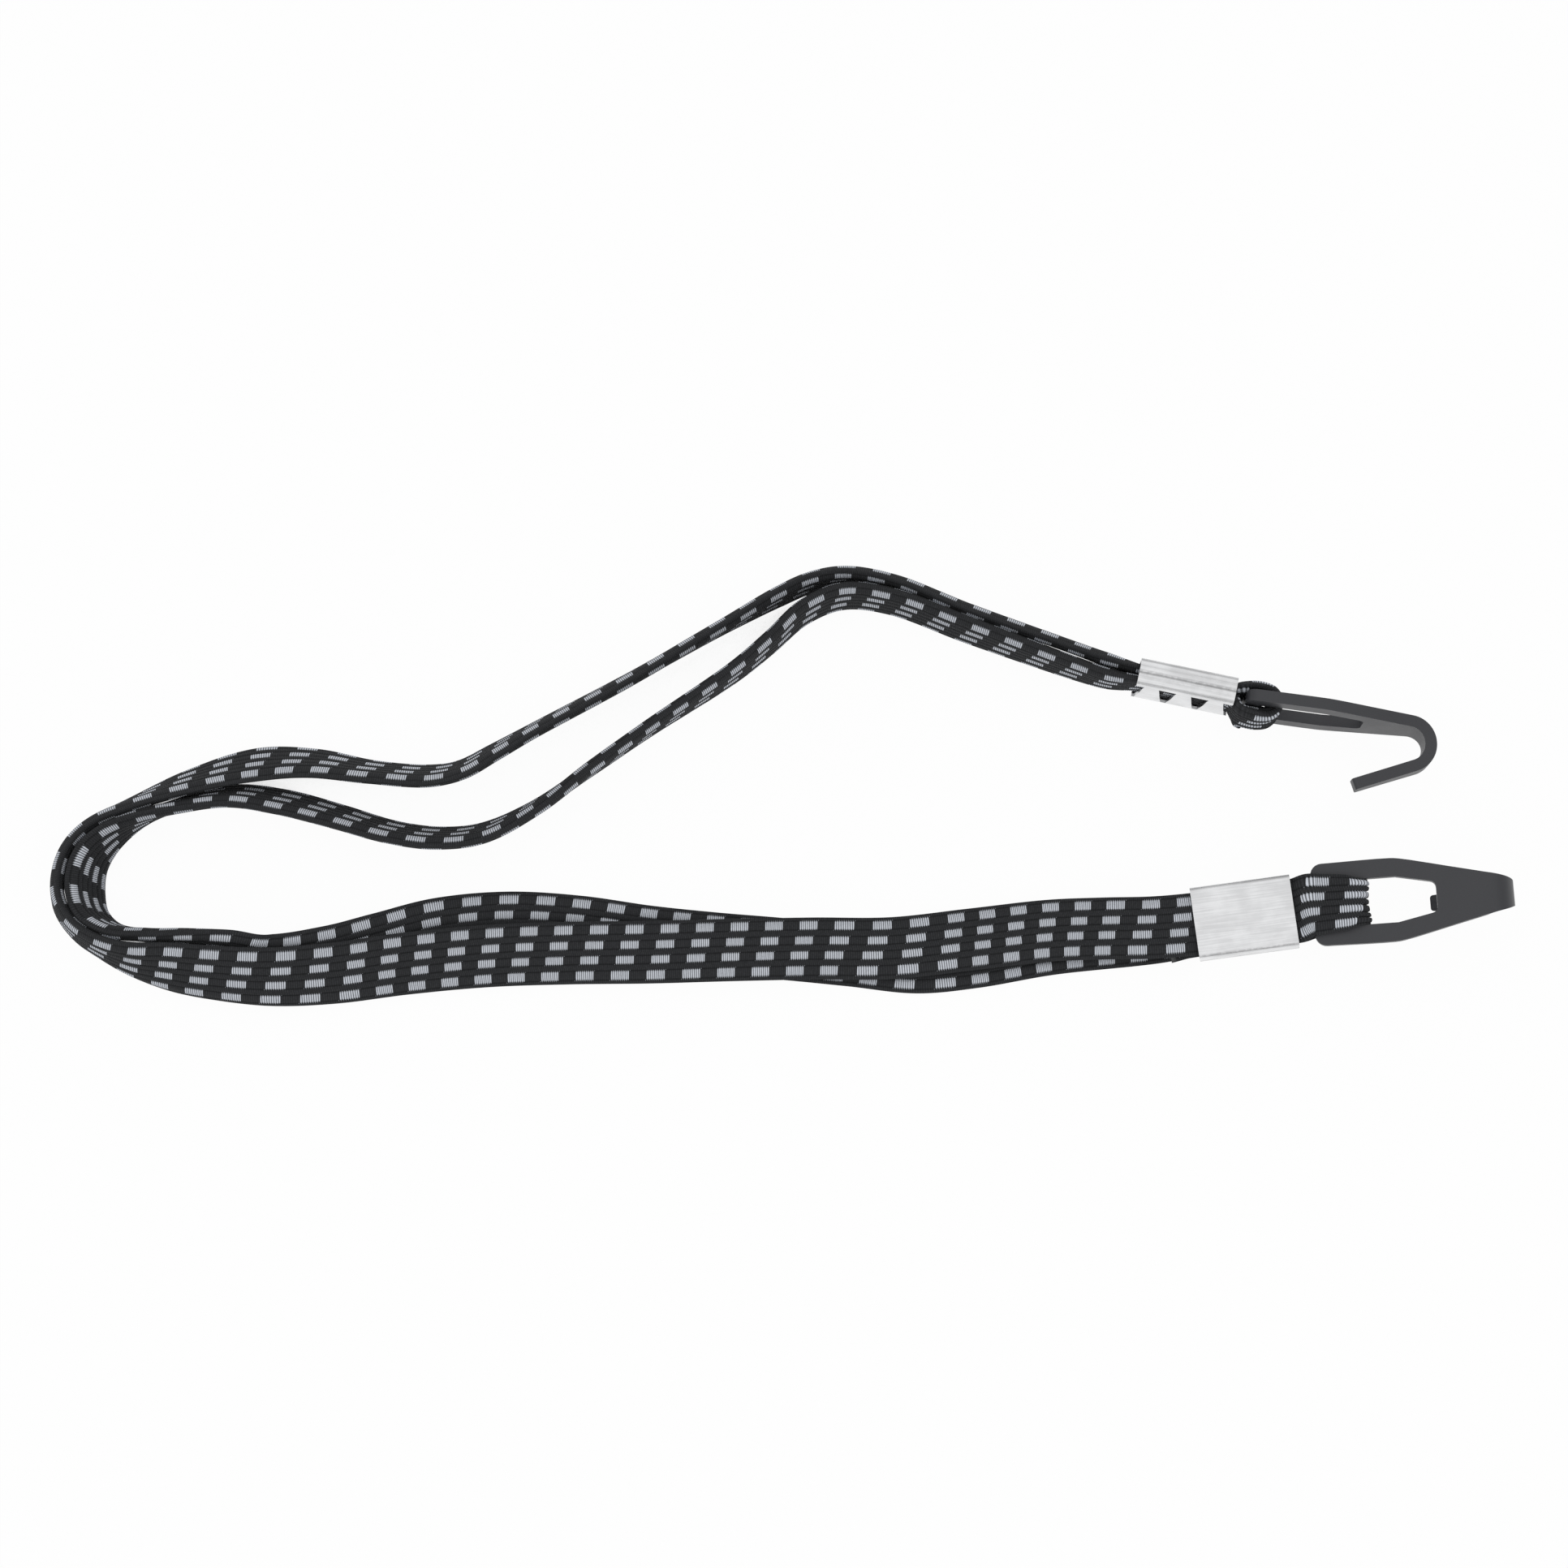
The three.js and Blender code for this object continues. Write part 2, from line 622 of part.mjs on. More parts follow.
const innerKnots = [
  lower(FERRULE_LENGTH - BURIED_END_INSET, -1),
  lower(0, -1),
  ...routeKnots(INNER_ROUTE, -1),
  upper(0, -0.5),
  upper(middleOfFerrule, -0.5),
];
const upperLoopKnots = [
  upper(middleOfFerrule, -0.5),
  upper(gatherStart, -0.5),
  upper(FERRULE_LENGTH, -0.5, MOUTH_WIDTH_SHARE),
  ...loopKnots(upperHook, UPPER_END.loopReach, -1, minusY),
  upper(FERRULE_LENGTH, 0.5, MOUTH_WIDTH_SHARE),
  upper(gatherStart, 0.5),
  upper(middleOfFerrule, 0.5),
];
const outerKnots = [
  upper(middleOfFerrule, 0.5),
  upper(0, 0.5),
  ...routeKnots(OUTER_ROUTE, 1).toReversed(),
  lower(0, 1),
  lower(middleOfFerrule, 1),
];
const lowerLoopKnots = [
  lower(middleOfFerrule, 1),
  lower(gatherStart, 1),
  lower(FERRULE_LENGTH, 1, MOUTH_WIDTH_SHARE),
  ...loopKnots(lowerHook, LOWER_END.loopReach, 1, Y_AXIS),
  lower(FERRULE_LENGTH, 0, MOUTH_WIDTH_SHARE),
  lower(gatherStart, 0),
  lower(0, 0),
  lower(-TAIL_LENGTH, TAIL_LIFT, 1, -TAIL_DRIFT),
];

const innerFrames = stripFrames(innerKnots);
const upperLoopFrames = stripFrames(upperLoopKnots);
const outerFrames = stripFrames(outerKnots);
const lowerLoopFrames = stripFrames(lowerLoopKnots);
const halfGap = LAYER_CLEARANCE / 2;

strap.add(
  namedMesh("inner_band", coverGeometry(innerFrames, 0, -halfGap), WEBBING_FINISH),
  namedMesh("upper_loop", coverGeometry(upperLoopFrames, halfGap, -halfGap), WEBBING_FINISH),
  namedMesh("outer_band", coverGeometry(outerFrames, halfGap, -halfGap), WEBBING_FINISH),
  namedMesh("lower_loop", coverGeometry(lowerLoopFrames, halfGap, 0), WEBBING_FINISH),
);

const wholeStrip = [
  ...innerFrames,
  ...upperLoopFrames.slice(1),
  ...outerFrames.slice(1),
  ...lowerLoopFrames.slice(1),
];
for (let thread = 0; thread < THREAD_COUNT; thread += 1) {
  strap.add(namedMesh(`rubber_thread_${thread + 1}`, threadGeometry(wholeStrip, thread), RUBBER_FINISH));
}

lowerEnd.add(namedMesh("lower_ferrule", ferruleGeometry(LOWER_END.layers), SHEET_FINISH));
upperEnd.add(namedMesh("upper_ferrule", ferruleGeometry(UPPER_END.layers), SHEET_FINISH));
lowerHook.add(namedMesh("lower_hook", hookGeometry(), PLASTIC_FINISH));
upperHook.add(namedMesh("upper_hook", hookGeometry(), PLASTIC_FINISH));

export default strap;
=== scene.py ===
"""Looks of an elastic tie-down strap: ribbed webbing with pale dashes, sheet ferrules and plastic hooks."""

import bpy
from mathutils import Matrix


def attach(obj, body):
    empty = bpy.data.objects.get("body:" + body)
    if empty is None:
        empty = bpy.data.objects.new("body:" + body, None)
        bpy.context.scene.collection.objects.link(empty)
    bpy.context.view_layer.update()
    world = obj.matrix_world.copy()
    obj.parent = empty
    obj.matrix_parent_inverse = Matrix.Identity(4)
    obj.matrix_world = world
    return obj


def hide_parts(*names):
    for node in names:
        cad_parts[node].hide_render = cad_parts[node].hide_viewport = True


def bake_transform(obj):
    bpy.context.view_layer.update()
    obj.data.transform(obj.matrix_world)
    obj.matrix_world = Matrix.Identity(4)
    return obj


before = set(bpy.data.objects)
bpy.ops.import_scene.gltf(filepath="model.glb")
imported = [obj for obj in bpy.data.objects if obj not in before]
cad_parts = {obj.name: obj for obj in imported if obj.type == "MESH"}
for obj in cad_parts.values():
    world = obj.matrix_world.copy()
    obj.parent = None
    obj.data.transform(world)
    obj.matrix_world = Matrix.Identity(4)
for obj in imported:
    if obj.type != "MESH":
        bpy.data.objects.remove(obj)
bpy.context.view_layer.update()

import math

import bpy
import numpy as np
from bpy.props import FloatProperty, FloatVectorProperty, IntProperty, PointerProperty
from mathutils import Vector

bl_info = {
    "name": "Tie-Down Strap",
    "version": (1, 0, 0),
    "blender": (4, 5, 0),
    "location": "View3D > Sidebar > Strap",
    "description": "Builds the looks of an elastic tie-down strap around its CAD frame",
    "category": "Object",
}

# Routes of the two bands from the lower ferrule round the bend to the upper one, on the face that a band
# turns to the other band: x, y, z in metres, and the lean of the width from upright in degrees.
OUTER_ROUTE = np.array([
    (0.0989, -0.0396, 0.0066, -86),
    (0.0859, -0.0395, 0.0048, -87),
    (0.0719, -0.0399, 0.0039, -88),
    (0.0519, -0.0421, 0.0035, -88),
    (0.0305, -0.0445, 0.0035, -88),
    (0.0092, -0.0446, 0.0035, -87),
    (-0.0122, -0.045, 0.0036, -85),
    (-0.0335, -0.0454, 0.0034, -80),
    (-0.0549, -0.0455, 0.0031, -76),
    (-0.0762, -0.0462, 0.0031, -73),
    (-0.0974, -0.0483, 0.0039, -69),
    (-0.1163, -0.051, 0.0051, -64),
    (-0.1331, -0.0522, 0.0074, -56),
    (-0.1491, -0.0508, 0.0077, -47),
    (-0.1586, -0.0493, 0.0078, -39),
    (-0.1681, -0.0473, 0.008, -22),
    (-0.1763, -0.0438, 0.0083, -10),
    (-0.1831, -0.0392, 0.0083, -8),
    (-0.1873, -0.033, 0.0083, -11),
    (-0.188, -0.0258, 0.0082, -13),
    (-0.1858, -0.0188, 0.0082, -14),
    (-0.1804, -0.013, 0.0082, -15),
    (-0.1697, -0.0073, 0.0079, -22),
    (-0.1558, -0.0012, 0.0071, -36),
    (-0.1391, 0.0038, 0.0061, -47),
    (-0.1241, 0.0041, 0.0065, -41),
    (-0.1081, 0.0014, 0.0073, -32),
    (-0.0921, 0.0003, 0.0074, -31),
    (-0.0835, 0.002, 0.0075, -28),
    (-0.0751, 0.0066, 0.0077, -25),
    (-0.0647, 0.0126, 0.0079, -21),
    (-0.04, 0.0263, 0.0082, -18),
    (-0.0154, 0.0409, 0.0084, -12),
    (0.0015, 0.0505, 0.0085, -4),
    (0.0101, 0.0544, 0.0085, -4),
    (0.0188, 0.0562, 0.0084, -9),
    (0.0314, 0.0543, 0.0084, -14),
    (0.0515, 0.0463, 0.0085, -18),
    (0.0809, 0.035, 0.0088, -18),
    (0.0893, 0.0314, 0.0096, -14),
])
INNER_ROUTE = np.array([
    (0.0989, -0.04, 0.0032, -87),
    (0.0719, -0.0429, 0.0029, -88),
    (0.0519, -0.0464, 0.0029, -88),
    (0.0369, -0.0478, 0.0029, -88),
    (0.0199, -0.046, 0.003, -88),
    (0.0019, -0.0442, 0.003, -87),
    (-0.0165, -0.0427, 0.0031, -86),
    (-0.0341, -0.0409, 0.0032, -85),
    (-0.0526, -0.0383, 0.0034, -84),
    (-0.0713, -0.0373, 0.0036, -83),
    (-0.0894, -0.0393, 0.0042, -78),
    (-0.1042, -0.0436, 0.0052, -71),
    (-0.1171, -0.0472, 0.006, -60),
    (-0.1331, -0.0493, 0.0076, -46),
    (-0.1431, -0.0466, 0.0085, -25),
    (-0.1531, -0.0446, 0.0085, -5),
    (-0.1643, -0.0434, 0.0083, 8),
    (-0.1751, -0.0417, 0.0081, 15),
    (-0.1813, -0.0366, 0.0076, 23),
    (-0.1835, -0.0294, 0.0073, 26),
    (-0.1826, -0.0217, 0.0077, 21),
    (-0.1781, -0.015, 0.0081, 11),
    (-0.1694, -0.0091, 0.0087, -8),
    (-0.1584, -0.0053, 0.0086, -22),
    (-0.1452, -0.0027, 0.0083, -31),
    (-0.1311, -0.0044, 0.0081, -34),
    (-0.1158, -0.0085, 0.0083, -32),
    (-0.1022, -0.0125, 0.0083, -30),
    (-0.0901, -0.0142, 0.0083, -30),
    (-0.0784, -0.013, 0.0085, -28),
    (-0.0649, -0.0063, 0.0087, -20),
    (-0.0507, 0.0043, 0.0086, -11),
    (-0.0354, 0.0155, 0.0084, -8),
    (-0.0122, 0.0316, 0.0083, -2),
    (-0.0027, 0.0398, 0.0083, 1),
    (0.0065, 0.0484, 0.0082, 4),
    (0.0177, 0.0532, 0.008, 5),
    (0.0312, 0.0516, 0.0083, 4),
    (0.0523, 0.0433, 0.0085, 4),
    (0.0815, 0.032, 0.0092, -2),
    (0.0893, 0.0293, 0.0098, -5),
])

# The two ends: each ferrule's mouth that the bands enter, how it is turned in degrees, how its hook sits,
# the layer at which the loop's first leg leaves, how far the two legs swell, and the roll of the sheet.
LOWER_END = {
    "mouth": (0.1097, -0.03865, 0.006), "heading": 5.9, "incline": 10.0, "roll": 6, "layers": 3,
    "hook_gap": 0.0045, "hook_shift": 0.0005, "hook_rise": 0.0018, "hook_skew": -3.8, "hook_swing": 1.6,
    "hook_roll": 0, "mouth_layer": 1.0, "swell": (0.0, 0.0), "sheet_roll": 0.0,
}
UPPER_END = {
    "mouth": (0.0958, 0.0283, 0.0103), "heading": -12.3, "incline": 0.0, "roll": -82, "layers": 2,
    "hook_gap": 0.00275, "hook_shift": -0.0007, "hook_rise": -0.00106, "hook_skew": -0.2, "hook_swing": 4.1,
    "hook_roll": -5.7, "mouth_layer": -0.85, "swell": (0.0009, 0.0008), "sheet_roll": -2.0,
}

# Share of the full width along a loop: inside the ferrule, at its mouth and at each knot of a leg up to the
# nose. Both legs have the same shares.
LOWER_LOOP_SHARES = (1.0, 1.02, 1.0, 0.96, 0.87, 0.76, 0.715)
UPPER_LOOP_SHARES = (1.0, 1.0, 0.99, 0.95, 0.86, 0.76, 0.715)

# A loop's leg: how far before the bar it starts, the heights and swells of its knots as shares of the whole,
# the nose's length in leg heights, and how far the last two knots are behind its tip, in nose lengths.
LEG_LEAD = 0.0007
LEG_HEIGHTS = (0.94, 1.0, 1.0, 0.8, 0.36)
LEG_SWELLS = (0.4, 1.0, 1.0, 0.8, 0.3)
NOSE_LENGTH = 1.3
NOSE_BACKS = (0.42, 0.08)

# The strip at a ferrule: how deep inside a loop starts to gather and how deep a band's knot in the upper one
# is, and how far past the mouth, in metres and in layers, the upper loop's first leg is swollen.
GATHER_DEPTH = 0.005
ENTRY_DEPTH = 0.003
SWOLLEN_PAST = 0.0007
SWOLLEN_LAYERS = 0.15

# The strip's curve: the chord's power for places and for widths, and the steps that measure one span.
CENTRIPETAL = 0.5
EVEN = 0
MEASURE_STEPS = 32

# The webbing: the share of its thickness that it loses at the edge, the square's share in a rib's sag, how
# much deeper a gathered loop's grooves are, the least curl, how many times finer its rings are, how fast the
# tail's melted end sets in, and the number of rubber threads inside.
EDGE_LOSS = 0.99
SQUARE_SHARE = 0.35
GATHERED_GROOVES = 1.5
LEAST_CURL = 0.001
LOOP_FINENESS = 3
SEAL_SLOPE = 1.5
THREADS = 9

# Where dashes sit on the middle line of each stretch: metres along it, and the dash's number.
DASH_MARKS = {
    "outer_band": np.array([
        (0.0266, -16), (0.1806, 0), (0.2271, 5), (0.2676, 9), (0.2968, 12), (0.3551, 18), (0.3831, 21),
        (0.4229, 25), (0.4491, 28), (0.4759, 31), (0.5132, 35), (0.5494, 39), (0.5802, 42), (0.6214, 47),
    ]),
    "inner_band": np.array([
        (0.0365, -17), (0.0877, -11), (0.0978, -10), (0.1437, -5), (0.1884, 0), (0.2164, 3), (0.2549, 7),
        (0.2838, 10), (0.3112, 13), (0.3406, 16), (0.3805, 20), (0.4585, 28), (0.5038, 33), (0.5601, 39),
        (0.6359, 47),
    ]),
    "lower_loop": np.array([(0.01835, 0), (0.02863, 1)]),
    "upper_loop": np.array([(0.02088, 0), (0.03138, 1)]),
}

# How far the dashes of a stretch's back face lie ahead of its front's, in dashes.
BACK_SHIFTS = {"outer_band": 0.46}

# The weave, in dashes along and ribs across: a dash's strands and their lean, where its end and its ragged
# side go from bare to pale, and where a groove's shade goes from none to full.
STRANDS = 17.0
STRAND_LEAN = 0.35
DASH_END = (0.258, 0.244)
DASH_SIDE = (0.03, -0.07)
DASH_RAGGED = -0.09
GROOVE_SHADE = (0.16, 0.0)

# A ferrule's section, in metres: the lip past its corner and its flat edge, the gap from lip to tongues, the
# creased side's share of the height, its bow and its crease, and how a tongue sinks towards its tip.
LIP_WIDTH = 0.0012
LIP_EDGE = 0.0006
SEAM_GAP = 0.0004
CREASED_SHARE = 0.94
CREASED_BOW = 0.00022
CREASE_WIDTH = 0.00045
CREASE_DEPTH = 0.00032
SINK_DEPTH = 0.0004
SINK_START = 0.0062
SINK_LENGTH = 0.004
SINK_POWER = 1.3

# A ferrule's grid: its tongues, the steps along each, and the rows round a corner, on the creased side, on
# the back, on a tongue and on its tip.
TONGUES = 3
TONGUE_STEPS = 12
CORNER_ROWS = 9
CREASED_ROWS = 25
BACK_ROWS = 11
TONGUE_ROWS = 13
TIP_ROWS = 6

# A ferrule's painted shade and scuffs: the most painted shade, which lies in the crease and along the corner
# between the creased side and the back, the scuffs on the creased side's lower half, and the corner's row
# that is shaded most, with the spread in rows.
MOST_PAINTED_SHADE = 0.5
LOW_SCUFF = 0.16
SHADED_CORNER_ROW = 6
SHADED_CORNER_SPREAD = 1.5

# A hook's plate laid flat, in metres from its end: corners, shoulder, eye, bend, arm and tip, and its half
# width at places along it.
PLATE_CORNER = 0.003
PLATE_END_HALF = 0.0107
SHOULDER = 0.0216
SHOULDER_ROUND = 0.0012
EYE_END = 0.0318
EYE_END_HALF = 0.0039
EYE_RADIUS = 0.0017
BEND = 0.0443
BEND_RADIUS = 0.0058
BEND_TURN = math.radians(155)
BEND_LENGTH = BEND_RADIUS * BEND_TURN
ARM_LENGTH = 0.0172
ARM_END = BEND + BEND_LENGTH + ARM_LENGTH
TIP_HALF = 0.0021
TIP_ROUND = 0.0008
PLATE_TAPER = np.array([
    (0.0, PLATE_END_HALF), (PLATE_CORNER, PLATE_END_HALF), (0.0204, 0.01085), (0.0228, 0.0106),
    (0.0366, 0.00735), (BEND, 0.0055), (0.0483, 0.00445), (0.0522, 0.00345), (0.0562, 0.00285),
    (BEND + BEND_LENGTH, 0.0026), (ARM_END, TIP_HALF), (0.09, TIP_HALF),
])

# A hook's grid: steps that measure its taper, stations round a quarter circle, on the rails beside the eye
# and along the shank, the bend and the arm, and rows beside the eye and across it.
TAPER_STEPS = 400
QUARTER_STATIONS = 7
RAIL_STATIONS = (0.009, 0.013, 0.017, SHOULDER - SHOULDER_ROUND, SHOULDER, SHOULDER + SHOULDER_ROUND, 0.0255)
SHANK_STATIONS = 5
BEND_STATIONS = 28
ARM_STATIONS = 5
SIDE_ROWS = 5
EYE_ROWS = 8

# Rounded edges of the sheet and of the plate, in metres, with their segments and the least angle.
SHEET_EDGE = 0.0003
PLATE_EDGE = 0.0005
EDGE_SEGMENTS = 3
EDGE_ANGLE = math.radians(50)

# The photograph's camera: the picture's side and the focal length in pixels, and places in metres.
IMAGE_SIZE = 1932
FOCAL_PIXELS = 3700
CAMERA_PLACE = (0.0019, -0.20736, 0.7792)
CAMERA_TARGET = (0.0019, 0.0014, 0.0001)
NEAREST_SEEN = 0.01

# The stage: the lamp, the floor's reach and its drop below the strap, how near the strap has to be to shade
# the floor, the openness at which white starts and is full, the share of white and its strength in gloss,
# and the strength of the world on the strap.
LAMP_PLACE = (0.0, -0.7, 1.5)
LAMP_SIZE = 3.0
LAMP_POWER = 13.0
FLOOR_REACH = 4.0
FLOOR_DROP = 0.0006
GAP_REACH = 0.03
GAP_SAMPLES = 12
GAP_OPENNESS = (0.02, 0.12)
WHITE = (1.0, 1.0, 1.0, 1.0)
WHITE_SHARE = 0.96
GLOSSY_WHITE = 1.1
WORLD_STRENGTH = 0.62


def distance(name, description, default):
    """A property in metres."""
    return FloatProperty(name=name, description=description, default=default, subtype="DISTANCE")


def plain_number(name, description, default):
    """A property without a unit."""
    return FloatProperty(name=name, description=description, default=default)


def colour(name, description, default):
    """A property for a colour."""
    return FloatVectorProperty(name=name, description=description, default=default, subtype="COLOR")


class StrapSizes(bpy.types.PropertyGroup):
    """Sizes of the strap's pieces."""

    webbing_width: distance("Webbing width", "Width of the flat webbing", 0.0165)
    webbing_thickness: distance("Webbing thickness", "Thickness over the ribs", 0.0024)
    loose_thickness: distance("Loose thickness", "Thickness where it lies loose", 0.0028)
    standing_swell: distance("Standing swell", "Extra thickness where it stands on edge", 0.0008)
    layer_clearance: distance("Layer clearance", "Gap between layers in a ferrule", 0.0003)
    rib_pitch: distance("Rib pitch", "Distance between ribs", 0.00196)
    wide_rib: plain_number("Wide rib", "Half width of a rib with dashes, in pitches", 0.56)
    groove_depth: distance("Groove depth", "Depth of the groove between ribs", 0.00034)
    plain_edge: distance("Plain edge", "Width of the edge outside the last row", 0.001)
    edge_round: plain_number("Edge round", "Power of the section's fall to its edges", 1.45)
    row_slant: plain_number("Row slant", "Shift from rib to rib, in dashes", -0.07)
    loop_curl: FloatProperty(
        name="Loop curl", description="How far a gathered loop curls across", default=1.2, subtype="ANGLE")
    loop_flare: distance("Loop flare", "How far a gathered loop's edges stand out", 0.0013)
    tail_length: distance("Tail length", "Webbing that stands out of the ferrule", 0.008)
    tail_drift: distance("Tail drift", "Sideways drift of the tail", 0.001)
    tail_lift: plain_number("Tail lift", "Rise of the tail, in layers", 0.25)
    sealed_length: distance("Sealed length", "Melted end of the tail", 0.0014)
    buried_inset: distance("Buried inset", "How far the buried end stops short", 0.004)
    ferrule_length: distance("Ferrule length", "Length of a ferrule", 0.0268)
    ferrule_trim: distance("Ferrule trim", "Rim lost to the crimp at each end", 0.0004)
    sheet_thickness: distance("Sheet thickness", "Thickness of the ferrule's sheet", 0.0008)
    notch_width: distance("Notch width", "Flat foot of the gap between two tongues", 0.0013)
    tongue_tip: distance("Tongue tip", "Width of a tongue at its tip", 0.0035)
    tongue_round: distance("Tongue round", "Corner radius of a tongue's tip", 0.0014)
    side_clearance: distance("Side clearance", "Gap beside the webbing in a ferrule", 0.0004)
    ferrule_radius: distance("Ferrule radius", "Outer corner radius of a ferrule", 0.0016)
    back_radius: distance("Back radius", "Corner radius beside a ferrule's plain face", 0.0011)
    plate_thickness: distance("Plate thickness", "Thickness of a hook", 0.0031)
    bar_width: distance("Bar width", "Width of the bar inside the loop", 0.004)
    eye_width: distance("Eye width", "Width of a hook's eye", 0.012)
    loop_reach_lower: distance("Lower loop reach", "Reach past the plate's end", 0.0144)
    loop_reach_upper: distance("Upper loop reach", "Reach past the plate's end", 0.0094)
    loop_clearance: distance("Loop clearance", "Gap between a loop's legs and the bar", 0.0002)
    ring_step: distance("Ring step", "Distance between rings along the webbing", 0.0011)
    rib_points: IntProperty(name="Points per rib", description="Points across one rib", default=6, min=4)


class StrapColours(bpy.types.PropertyGroup):
    """Colours of the strap's finishes."""

    yarn: colour("Yarn", "Black yarn", (0.0165, 0.0172, 0.019))
    # Lighter yarn, mixed in by random grain and, more on the strands' crests, as painted light.
    yarn_lit_and_worn: colour("Worn yarn", "Lighter strands of the yarn", (0.050, 0.0515, 0.055))
    dash: colour("Dash", "Pale yarn of the dashes", (0.72, 0.755, 0.82))
    sheet: colour("Sheet", "Bright ferrule sheet", (0.69, 0.694, 0.703))
    # Dark sheet: painted shade in the crease and along a corner, and scuffs on the lower half of that side.
    sheet_scuff_and_shade: colour("Scuffed sheet", "Dull scuffs in creases", (0.2, 0.2, 0.205))
    plastic: colour("Plastic", "Dark hook plastic", (0.034, 0.0348, 0.0392))
    plastic_pale: colour("Pale plastic", "Lighter patches of the plastic", (0.049, 0.050, 0.0558))
    floor: colour("Floor", "Pale floor", (0.9, 0.9, 0.9))


# Frames and curves.


def turned(heading, incline, roll):
    """Axes of a frame, as matrix columns: rolled about X, tipped up by the incline, then headed about Z."""
    h, i, r = np.radians((heading, incline, roll))
    about_z = np.array([(math.cos(h), -math.sin(h), 0), (math.sin(h), math.cos(h), 0), (0, 0, 1)])
    about_y = np.array([(math.cos(i), 0, -math.sin(i)), (0, 1, 0), (math.sin(i), 0, math.cos(i))])
    about_x = np.array([(1, 0, 0), (0, math.cos(r), -math.sin(r)), (0, math.sin(r), math.cos(r))])
    return about_z @ about_y @ about_x


def end_frame(end):
    """Origin and axes of a ferrule: X along it to the hook, Z out of the strap's outer face."""
    return np.array(end["mouth"]), turned(end["heading"], end["incline"], end["roll"])


def hook_frame(end, sizes):
    """Origin and axes of a hook, with the origin in the middle of its bar and Y along the bar."""
    origin, axes = end_frame(end)
    along = sizes.ferrule_length + end["hook_gap"] + sizes.bar_width / 2
    place = origin + axes @ np.array((along, end["hook_shift"], end["hook_rise"]))
    return place, axes @ turned(end["hook_skew"], end["hook_swing"], end["hook_roll"])


def through(points, span, part, power):
    """Places on the cubic through the points at the given spans and parts of them. Its slopes are
    Catmull-Rom's for knots whose distance is the chord to the given power: 0.5 centripetal, 0 even."""
    padded = np.vstack((2 * points[0] - points[1], points, 2 * points[-1] - points[-2]))
    chord = np.linalg.norm(np.diff(padded, axis=0), axis=1) ** power
    p0, p1, p2, p3 = (padded[span + shift] for shift in range(4))
    d0, d1, d2 = (chord[span + shift][:, None] for shift in range(3))
    leave = ((p1 - p0) / d0 - (p2 - p0) / (d0 + d1) + (p2 - p1) / d1) * d1
    arrive = ((p2 - p1) / d1 - (p3 - p1) / (d1 + d2) + (p3 - p2) / d2) * d1
    square = 3 * (p2 - p1) - 2 * leave - arrive
    cube = 2 * (p1 - p2) + leave + arrive
    t = part[:, None]
    return p1 + leave * t + square * t**2 + cube * t**3


def unit(vectors):
    """Vectors scaled to length one."""
    return vectors / np.linalg.norm(vectors, axis=-1, keepdims=True)


def strip_frames(knots, step):
    """Even rings along knots of (place, across, share, thickness), as a dict of arrays. Places follow the
    centripetal cubic and widths the even one, made square to the travel; the face is travel cross width."""
    places, across = knots[:, :3], knots[:, 3:6]
    spans = len(knots) - 1

    def split(at):
        span = np.minimum(at.astype(int), spans - 1)
        return span, at - span

    fine = np.linspace(0, spans, spans * MEASURE_STEPS + 1)
    lengths = np.linalg.norm(np.diff(through(places, *split(fine), CENTRIPETAL), axis=0), axis=1)
    run = np.concatenate(((0,), np.cumsum(lengths)))
    count = max(2, int(round(run[-1] / step)) + 1)
    at = np.interp(np.linspace(0, run[-1], count), run, fine)
    place = through(places, *split(at), CENTRIPETAL)
    travel = unit(np.gradient(place, axis=0))
    width = through(across, *split(at), EVEN)
    width = unit(width - (width * travel).sum(1, keepdims=True) * travel)
    return {
        "place": place,
        "width": width,
        "face": np.cross(travel, width),
        "share": np.interp(at, np.arange(spans + 1), knots[:, 6]),
        "thickness": np.interp(at, np.arange(spans + 1), knots[:, 7]),
        "run": np.linspace(0, run[-1], count),
    }


def ferrule_knot(end, sizes, along, layer, side, share=1.0, drift=0.0):
    """A knot of the strip inside a ferrule, on one of its layers; side is the sign of Y along the width."""
    origin, axes = end_frame(end)
    pitch = sizes.webbing_thickness + sizes.layer_clearance
    place = origin + axes @ np.array((along, drift, layer * pitch))
    return (*place, *(side * axes[:, 1]), share, sizes.webbing_thickness)


def route_knots(route, away, sizes):
    """Knots of a band: the route's points moved by half the thickness away from the other band. The width
    is upright turned by the lean towards the outside, which lies left of the travel, and the thickness
    grows with the cosine of the lean."""
    travel = np.zeros((len(route), 3))
    travel[1:-1, :2] = route[2:, :2] - route[:-2, :2]
    travel[0, :2] = route[1, :2] - route[0, :2]
    travel[-1, :2] = route[-1, :2] - route[-2, :2]
    travel = unit(travel)
    outwards = np.column_stack((-travel[:, 1], travel[:, 0], np.zeros(len(route))))
    lean = np.radians(route[:, 3:])
    upright = np.array((0.0, 0.0, 1.0))
    across = upright * np.cos(lean) + outwards * np.sin(lean)
    face = outwards * np.cos(lean) - upright * np.sin(lean)
    places = route[:, :3] + face * away * sizes.loose_thickness / 2
    thickness = sizes.loose_thickness + sizes.standing_swell * np.cos(lean)
    return list(np.hstack((places, across, np.ones_like(lean), thickness)))


